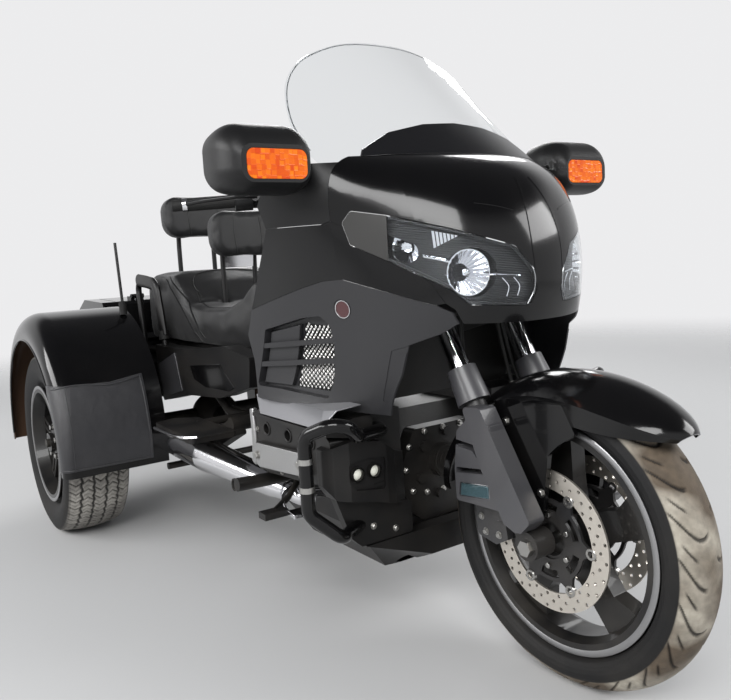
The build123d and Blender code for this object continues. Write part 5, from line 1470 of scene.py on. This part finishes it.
# Rear tyres
# Wide car tyres: five ribs of small blocks between four zigzag grooves, pale with dust, and
# plain sidewalls. Both are the same revolved section, set on the two ends of the axle.
REAR_TYRE_HALF = 0.1025
REAR_BEAD_R = 0.1915
REAR_BEAD_Y = 0.0755
REAR_CROWN = 0.012
REAR_WALL_STEPS = 14
REAR_TREAD_STEPS = 84
REAR_TURNS = 696
RIB_GROOVES = (-0.060, -0.021, 0.021, 0.060)
RIB_MIDDLES = (-0.078, -0.040, 0.0, 0.040, 0.078)
RIB_HALF = 0.018
BLOCKS = 58
ZIGZAG = 0.0028
REAR_GROOVE_HALF = 0.0030
REAR_GROOVE_DEPTH = 0.006
BLOCK_CUT_HALF = 0.0016
SIPE_HALF = 0.0005
CUT_EDGE = 0.0012
REAR_SIDE_RIB = 0.0007
REAR_SIDE_RIB_PITCH = 0.016
REAR_PALE = (0.42, 0.40, 0.365)
REAR_GREY = (0.27, 0.255, 0.235)


def rear_relief(angle, y, r):
    """Four grooves that swing to and fro with the blocks, bent cuts that part the ribs into
    blocks, each rib a little out of step with the next, and a thin half-deep slit in each block.
    Each cut has slanted sides. Ribs, a clipped cosine of the radius, ring the sidewalls."""
    tread = np.clip((r - (TYRE_R - REAR_CROWN - 0.001)) * 500, 0, 1)
    cut = np.zeros_like(angle * y)
    step = 2 * math.pi / BLOCKS
    for number, groove in enumerate(RIB_GROOVES):
        swing = groove + ZIGZAG * (4 * saw(angle / step + number * 0.31) - 1)
        beside = (REAR_GROOVE_HALF - np.abs(y - swing)) / CUT_EDGE
        cut = np.maximum(cut, np.clip(beside + 1, 0, 1))
    rib = np.digitize(y, RIB_GROOVES)
    middle = np.array(RIB_MIDDLES)[rib]
    bend = 0.42 * np.abs(y - middle) / RIB_HALF * np.where(rib % 2, 1, -1)
    turn = angle / step + bend + rib * 0.37
    near = saw(turn) * step * TYRE_R
    cut = np.maximum(cut, np.clip((BLOCK_CUT_HALF - near) / CUT_EDGE + 1, 0, 1))
    sipe = saw(turn + 0.5) * step * TYRE_R
    cut = np.maximum(cut, 0.5 * np.clip((SIPE_HALF - sipe) / CUT_EDGE + 1, 0, 1))
    wall = (r < TYRE_R - 0.03) & (r > REAR_BEAD_R + 0.02)
    ribs = np.clip(np.cos((r - 0.22) * 2 * math.pi / REAR_SIDE_RIB_PITCH) * 3, -1, 1)
    ribs = REAR_SIDE_RIB * ribs * wall
    return -REAR_GROOVE_DEPTH * cut * tread + ribs, tread * (1 - 0.9 * cut)


section = tyre_section(TYRE_R, REAR_TYRE_HALF, REAR_BEAD_R, REAR_BEAD_Y, REAR_CROWN,
                       REAR_WALL_STEPS, REAR_TREAD_STEPS)
rear_tread = tyre_finish("rear_tread", "tyre", REAR_GREY, REAR_PALE, WALL_BLACK)
dress(rear_tread, "rear_tyre_right", "rear_tyre_left")
for side, y in (("right", -REAR_TRACK_HALF), ("left", REAR_TRACK_HALF)):
    centre = REAR_AXLE + np.array([0, y, 0])
    mesh = tyre_mesh(f"rear_tyre_tread_{side}", centre, section, rear_relief, REAR_TURNS)
    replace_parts(place_piece(f"rear_tyre_tread_{side}", mesh, f"rear_wheel_{side}", rear_tread),
                f"rear_tyre_{side}")

# Rear fenders
# Deep gloss black moulded fenders, painted outside only: the inner face that looks at the tyre
# is bare and brown with road dirt.
WELL_BROWN = (0.060, 0.032, 0.018)
FENDER_LIP_R = 0.3735
FENDER_LIP_Y = -0.684
FENDER_LIP_FROM = 4
FENDER_LIP_TO = 182
FENDER_BEAD_R = 0.0036


def lined_paint(name, slot, centre):
    """Gloss paint whose inward faces are dirt brown. A face looks inward where its normal runs
    against the line from the axle to it, with the part along the axle left out."""
    material = finish(name, slot, PAINT_BLACK, 0.12, spec=0.25, coat=0.2, grain=(40, 0.00002),
                      dust=0.02)
    tree = material.node_tree
    link = tree.links.new
    shader = tree.nodes["Principled BSDF"]
    painted = shader.inputs["Base Color"].links[0].from_socket
    smooth = shader.inputs["Roughness"].links[0].from_socket
    place = tree.nodes.new("ShaderNodeTexCoord")
    away = tree.nodes.new("ShaderNodeVectorMath")
    away.operation = "SUBTRACT"
    away.inputs[1].default_value = centre
    flat = tree.nodes.new("ShaderNodeVectorMath")
    flat.operation = "MULTIPLY"
    flat.inputs[1].default_value = (1, 0, 1)
    unit = tree.nodes.new("ShaderNodeVectorMath")
    unit.operation = "NORMALIZE"
    face = tree.nodes.new("ShaderNodeNewGeometry")
    along = tree.nodes.new("ShaderNodeVectorMath")
    along.operation = "DOT_PRODUCT"
    share = tree.nodes.new("ShaderNodeMapRange")
    share.inputs["From Min"].default_value = -0.25
    share.inputs["From Max"].default_value = -0.05
    share.inputs["To Min"].default_value = 1
    share.inputs["To Max"].default_value = 0
    tint = tree.nodes.new("ShaderNodeMix")
    tint.data_type = "RGBA"
    tint.inputs["B"].default_value = (*WELL_BROWN, 1)
    dull = tree.nodes.new("ShaderNodeMix")
    dull.inputs["B"].default_value = 0.8
    link(place.outputs["Object"], away.inputs[0])
    link(away.outputs["Vector"], flat.inputs[0])
    link(flat.outputs["Vector"], unit.inputs[0])
    link(unit.outputs["Vector"], along.inputs[0])
    link(face.outputs["Normal"], along.inputs[1])
    link(along.outputs["Value"], share.inputs["Value"])
    link(share.outputs[0], tint.inputs["Factor"])
    link(share.outputs[0], dull.inputs["Factor"])
    link(painted, tint.inputs["A"])
    link(smooth, dull.inputs["A"])
    link(tint.outputs["Result"], shader.inputs["Base Color"])
    link(dull.outputs["Result"], shader.inputs["Roughness"])
    return material


fender_paint = lined_paint("fender_paint", "gloss_black", REAR_AXLE)
dress(fender_paint, "rear_fender_right", "rear_fender_left")
angle = np.radians(np.linspace(FENDER_LIP_FROM, FENDER_LIP_TO, 60))
arc = np.stack([REAR_AXLE[0] + FENDER_LIP_R * np.cos(angle), FENDER_LIP_Y + 0 * angle,
                REAR_AXLE[2] + FENDER_LIP_R * np.sin(angle)], axis=-1)
fitted("fender_lips", twin([tube_shape(arc, FENDER_BEAD_R, 8)]), "chassis", gloss_black)

# Fender bras
# Black grained vinyl covers stretched over the front of each fender, hemmed top and bottom with
# a cord inside, with a side seam. The top edge hangs a little slack.
BRA_TOP = [(-0.684, 0.556), (-0.640, 0.563), (-0.580, 0.561), (-0.520, 0.553), (-0.470, 0.556),
           (-0.407, 0.568)]
BRA_FOOT = [(-0.684, 0.306), (-0.600, 0.305), (-0.500, 0.304), (-0.405, 0.303)]
BRA_SEAM = [(-0.650, 0.560), (-0.651, 0.480), (-0.650, 0.400), (-0.651, 0.308)]
BRA_SIDE = [(-0.410, 0.566), (-0.409, 0.480), (-0.408, 0.400), (-0.408, 0.306)]
# Rays start here, ahead of the covers in the frame's metres, and look back
BRA_AHEAD = -0.2
BRA_LIFT = 0.0002
VINYL = (0.021, 0.021, 0.024)


def upholstery(name, slot, colour, scale, depth, rough, waves, slack, spec):
    """Grained leather or vinyl: cells of scale to the metre as raised pebbles, depth high, with
    softer creases, waves to the metre and slack high, and a little sheen."""
    material = finish(name, slot, colour, rough, spec=spec, grain=(scale * 2, 0.0001), dust=0.03)
    tree = material.node_tree
    link = tree.links.new
    shader = tree.nodes["Principled BSDF"]
    shader.inputs["Sheen Weight"].default_value = 0.08
    place = tree.nodes.new("ShaderNodeTexCoord")
    pebbles = tree.nodes.new("ShaderNodeTexVoronoi")
    pebbles.inputs["Scale"].default_value = scale
    creases = tree.nodes.new("ShaderNodeTexNoise")
    creases.inputs["Scale"].default_value = waves
    creases.inputs["Detail"].default_value = 3
    deeper = tree.nodes.new("ShaderNodeBump")
    deeper.inputs["Distance"].default_value = slack
    deeper.inputs["Strength"].default_value = 0.6
    bump = tree.nodes.new("ShaderNodeBump")
    bump.inputs["Distance"].default_value = depth
    bump.invert = True
    first = shader.inputs["Normal"].links[0].from_socket
    link(place.outputs["Object"], pebbles.inputs["Vector"])
    link(place.outputs["Object"], creases.inputs["Vector"])
    link(pebbles.outputs["Distance"], bump.inputs["Height"])
    link(creases.outputs["Fac"], deeper.inputs["Height"])
    link(first, bump.inputs["Normal"])
    link(bump.outputs["Normal"], deeper.inputs["Normal"])
    link(deeper.outputs["Normal"], shader.inputs["Normal"])
    return material


bra_vinyl = upholstery("bra_vinyl", "vinyl", VINYL, 900, 0.0003, 0.38, 7, 0.012, 0.5)
dress(bra_vinyl, "fender_bras")
bra_tree = shell_tree(nodes["fender_bras"].data)
hems = []
for line, radius in ((BRA_TOP, 0.0032), (BRA_FOOT, 0.0034), (BRA_SEAM, 0.0014), (BRA_SIDE, 0.0026)):
    starts = smooth_path([(BRA_AHEAD, y, z) for y, z in line])
    hems.append(tube_shape(pressed(bra_tree, starts, (-1, 0, 0), BRA_LIFT), radius, 8))
fitted("bra_hems", twin(hems), "chassis", bra_vinyl)

# Trunk and tail
# A gloss black moulded body over the axle with a hinged lid, red lamps on the fenders, a blank
# white plate, and a satin bumper under it.
PLATE_Y = 0.152
PLATE_LOW = 0.437
PLATE_HIGH = 0.560
PLATE_THICK = 0.0012
SCREW_Y = 0.089
SCREW_Z = 0.545
SCREW_HEAD = (0.005, 0.004)
TAIL_X = -2380
LAMP_RED = (0.42, 0.004, 0.004)
# The brighter red is a painted glint in the middle of each prism cell
RED_GLINT = (0.75, 0.02, 0.01)
TAIL_PRISMS = 110

dress(gloss_black, "trunk_body", "trunk_lid")
tail_black = finish("tail_black", "satin_black", (0.0055, 0.0055, 0.006), 0.40, spec=0.3,
                    grain=(900, 0.0001), dust=0.1)
dress(tail_black, "rear_bumper", "antenna")
dress(prism_lens("tail_red", "red_lens", LAMP_RED, RED_GLINT, TAIL_PRISMS), "tail_lamps")
plate_white = finish("plate_white", "satin_black", (0.72, 0.72, 0.70), 0.4,
                     grain=(900, 0.00005), dust=0.08)
tail = station(TAIL_X, 0, 0)[0]
plate = [(tail, -PLATE_Y, PLATE_LOW), (tail, PLATE_Y, PLATE_LOW), (tail, PLATE_Y, PLATE_HIGH),
         (tail, -PLATE_Y, PLATE_HIGH)]
fitted("number_plate", [slab_shape(plate, (-PLATE_THICK, 0, 0))], "chassis", plate_white, 0.0005)
screws = []
for y in (-SCREW_Y, SCREW_Y):
    screws += hex_bolt((tail - PLATE_THICK, y, SCREW_Z), (-1, 0, 0), *SCREW_HEAD)
fitted("plate_screws", screws, "chassis", bolt_zinc)

# Side covers and seat pan
# Satin black moulded covers under the saddle, each with a gloss panel let into it and a grey one
# clipped on behind it, and the pressed pan that the saddle is bolted to.
COVER_FACE_Y = -262
GREY_PANEL = [(-1660, 570), (-1634, 452), (-1452, 494), (-1496, 622)]
GREY_LIFT = 0.004
GLOSS_PANEL = [(-1370, 588), (-1128, 612), (-1034, 550), (-1070, 534), (-1250, 528), (-1340, 545)]
GLOSS_DEPTH = 0.0022

dress(tail_black, "side_covers", "seat_pan", "seat_rails")
panel = [station(x, COVER_FACE_Y, z) for x, z in GLOSS_PANEL]
fitted("cover_panels", twin([slab_shape(panel, (0, -GLOSS_DEPTH, 0))]), "chassis", gloss_black,
       0.001)
cover_tree = shell_tree(nodes["side_covers"].data)
outer = patch(cover_tree, GREY_PANEL, 12, 16, GREY_LIFT)
inner = patch(cover_tree, GREY_PANEL, 12, 16, 0.0)
fitted("cover_rears", twin([sheet_shape(outer, inner)]), "chassis", cover_grey, 0.001)

# Grab rails and backrest bracket
# Steel tubes beside the passenger, sleeved in soft black where the hand goes and clamped at the
# sleeve's end. A plated bracket joins the rider's backrest posts.
SLEEVE = [(-1652, -240, 672), (-1672, -240, 770), (-1696, -240, 846), (-1760, -240, 862),
          (-1880, -238, 872)]
SLEEVE_R = 0.024
SLEEVE_FLAT = 0.53
CLAMP = [(-0.016, 0), (-0.016, 0.019), (0.016, 0.019), (0.016, 0)]
BRACKET = [(-1492, -62, 902), (-1492, 62, 902), (-1488, 62, 945), (-1488, -62, 945)]
BRACKET_DEPTH = 0.006

sleeve = smooth_path([station(*point) for point in SLEEVE])
fitted("rail_sleeves", twin([tube_shape(sleeve, SLEEVE_R, 16, SLEEVE_FLAT)]), "chassis",
       tail_black)
fitted("rail_clamps", twin([turned_shape(CLAMP, sleeve[0], sleeve[1] - sleeve[0], 20)]), "chassis",
       grip_rubber, 0.001)
bracket = slab_shape([station(*point) for point in BRACKET], (BRACKET_DEPTH, 0, 0))
fitted("rest_bracket", [bracket], "chassis", chrome, 0.001)

# Tank cover and fuel cap
# A gloss black moulded cover over the tank, ahead of the saddle, with a plated round lid that has
# a shallow dish in its middle.
CAP_PLACE = (-800, 0, 925)
FUEL_CAP = [(0, 0), (0, 0.040), (0.004, 0.040), (0.006, 0.036), (0.006, 0.014), (0.004, 0.012),
            (0.004, 0)]

dress(gloss_black, "top_shelter")
fitted("fuel_cap", [turned_shape(FUEL_CAP, station(*CAP_PLACE), (0, 0, 1), 40)], "chassis", chrome)

# Saddle
# Foam under black leather: a stepped two-place cushion with a deep rider's bowl, its side
# bolsters sewn on along two seams. The cover is blown up from the plain CAD solid.
SEAT_VOXEL = 0.006
SEAT_EASE = 26
SEAT_SHRINK = 0.004
SEAT_SWELL = 0.006
SEAT_SETTLE = 24
STUFFING_PRESSURE = 4
STUFFING_STEPS = 20
WELT_LIFT = 0.0004
SEAT_BLACK = (0.0075, 0.0075, 0.008)
SIDE_SEAMS = [
    [(-1672, 880), (-1610, 858), (-1553, 820), (-1498, 772), (-1440, 716), (-1400, 668)],
    [(-1700, 870), (-1640, 842), (-1580, 800), (-1524, 750), (-1466, 694), (-1430, 655)],
]
FRONT_PANEL = [(-135, 800), (-150, 845), (-128, 880), (-60, 893), (0, 896), (60, 893), (128, 880),
               (150, 845), (135, 800)]
FRONT_PANEL_X = -1250
BOWL_SEAM = [(-1530, -150), (-1420, -152), (-1300, -146), (-1180, -118), (-1110, -86)]
ABOVE_SEAT = 1200


def merged_copy(name, node):
    """The CAD node's loose triangles as one closed mesh."""
    mesh = nodes[node].data.copy()
    mesh.name = name
    mesh.materials.clear()
    work = bmesh.new()
    work.from_mesh(mesh)
    bmesh.ops.remove_doubles(work, verts=work.verts, dist=0.00005)
    work.to_mesh(mesh)
    work.free()
    return mesh


def baked(piece):
    """The piece's mesh with its modifiers applied."""
    shown = piece.evaluated_get(bpy.context.evaluated_depsgraph_get())
    return bpy.data.meshes.new_from_object(shown)


def puffed(name, mesh, voxel, swell, ease, shrink, settle):
    """A stuffed cover: the mesh is remade with even faces, eased round, drawn in by shrink along
    its normals, then blown up as cloth with no point moving further than swell. It ends with
    settle rounds of smoothing, which leave a taut cover."""
    pad = bpy.data.objects.new(name, mesh)
    bpy.context.scene.collection.objects.link(pad)
    even = pad.modifiers.new("even", "REMESH")
    even.mode = "VOXEL"
    even.voxel_size = voxel
    soft = pad.modifiers.new("soft", "SMOOTH")
    soft.factor = 0.6
    soft.iterations = ease
    draw_in = pad.modifiers.new("draw_in", "DISPLACE")
    draw_in.strength = -shrink
    draw_in.mid_level = 0
    pad.data = baked(pad)
    pad.modifiers.clear()
    count = len(pad.data.vertices)
    before = np.empty(count * 3)
    pad.data.vertices.foreach_get("co", before)
    cloth = pad.modifiers.new("stuffing", "CLOTH")
    cloth.settings.use_pressure = True
    cloth.settings.uniform_pressure_force = STUFFING_PRESSURE
    cloth.settings.effector_weights.gravity = 0
    for step in range(1, STUFFING_STEPS + 1):
        bpy.context.scene.frame_set(step)
    after = np.empty(count * 3)
    baked(pad).vertices.foreach_get("co", after)
    pad.modifiers.clear()
    bpy.context.scene.frame_set(1)
    move = (after - before).reshape(-1, 3)
    length = np.linalg.norm(move, axis=1, keepdims=True)
    move *= np.minimum(1, swell / np.maximum(length, 1e-9))
    pad.data.vertices.foreach_set("co", before + move.ravel())
    taut = pad.modifiers.new("taut", "SMOOTH")
    taut.factor = 0.5
    taut.iterations = settle
    pad.data = baked(pad)
    pad.modifiers.clear()
    pad.data.shade_smooth()
    return pad


def cushion(pad, material, node):
    """The stuffed cover wears the material, rides on the chassis and takes the CAD node's place."""
    pad.data.materials.append(material)
    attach(pad, "chassis")
    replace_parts(pad, node)


seat_leather = upholstery("seat_leather", "seat_leather", SEAT_BLACK, 620, 0.0004, 0.38, 9,
                          0.0008, 0.35)
welt_black = finish("welt_black", "seat_leather", (0.006, 0.006, 0.006), 0.45, spec=0.4, dust=0.0)
saddle = puffed("saddle_cover", merged_copy("saddle_cover", "seat"), SEAT_VOXEL, SEAT_SWELL,
                SEAT_EASE, SEAT_SHRINK, SEAT_SETTLE)
cushion(saddle, seat_leather, "seat")
saddle_tree = shell_tree(saddle.data)
seams = []
for line in SIDE_SEAMS:
    starts = smooth_path([station(x, FAR_RIGHT, z) for x, z in line])
    seams += twin([tube_shape(pressed(saddle_tree, starts, (0, 1, 0), WELT_LIFT), 0.0028, 6)])
starts = smooth_path([station(FRONT_PANEL_X, y, z) for y, z in FRONT_PANEL])
seams.append(tube_shape(pressed(saddle_tree, starts, (-1, 0, 0), WELT_LIFT), 0.0022, 6))
starts = smooth_path([station(x, y, ABOVE_SEAT) for x, y in BOWL_SEAM])
seams += twin([tube_shape(pressed(saddle_tree, starts, (0, 0, -1), WELT_LIFT), 0.0020, 6)])
fitted("saddle_welts", seams, "chassis", welt_black)

# Backrests
# Two padded rests in the same leather, one for the rider and one for the passenger. A pair of
# upright seams, drawn in towards their ends, sets off the side bolsters of each.
RESTS = [
    # where the rays start, the rest's low and high edge, and each seam's distance from the middle
    (-1300, 0.934, 1.098, 0.052),
    (-1700, 1.018, 1.180, 0.062),
]
REST_VOXEL = 0.005
REST_SWELL = 0.005
REST_EASE = 6
REST_SHRINK = 0.002
REST_SETTLE = 8
REST_SEAM_R = 0.0018
REST_SEAM_LIFT = 0.0002
REST_MARGIN = 0.018

backs = puffed("backrest_covers", merged_copy("backrest_covers", "backrests"), REST_VOXEL,
               REST_SWELL, REST_EASE, REST_SHRINK, REST_SETTLE)
cushion(backs, seat_leather, "backrests")
backs_tree = shell_tree(backs.data)
seams = []
for ahead, low, high, offset in RESTS:
    x = station(ahead, 0, 0)[0]
    middle = (low + high) / 2
    for y in (-offset, offset):
        line = [(x, y * 0.9, low + REST_MARGIN), (x, y, middle), (x, y * 0.9, high - REST_MARGIN)]
        path = pressed(backs_tree, smooth_path(line), (-1, 0, 0), REST_SEAM_LIFT)
        seams.append(tube_shape(path, REST_SEAM_R, 6))
fitted("backrest_seams", seams, "chassis", welt_black)
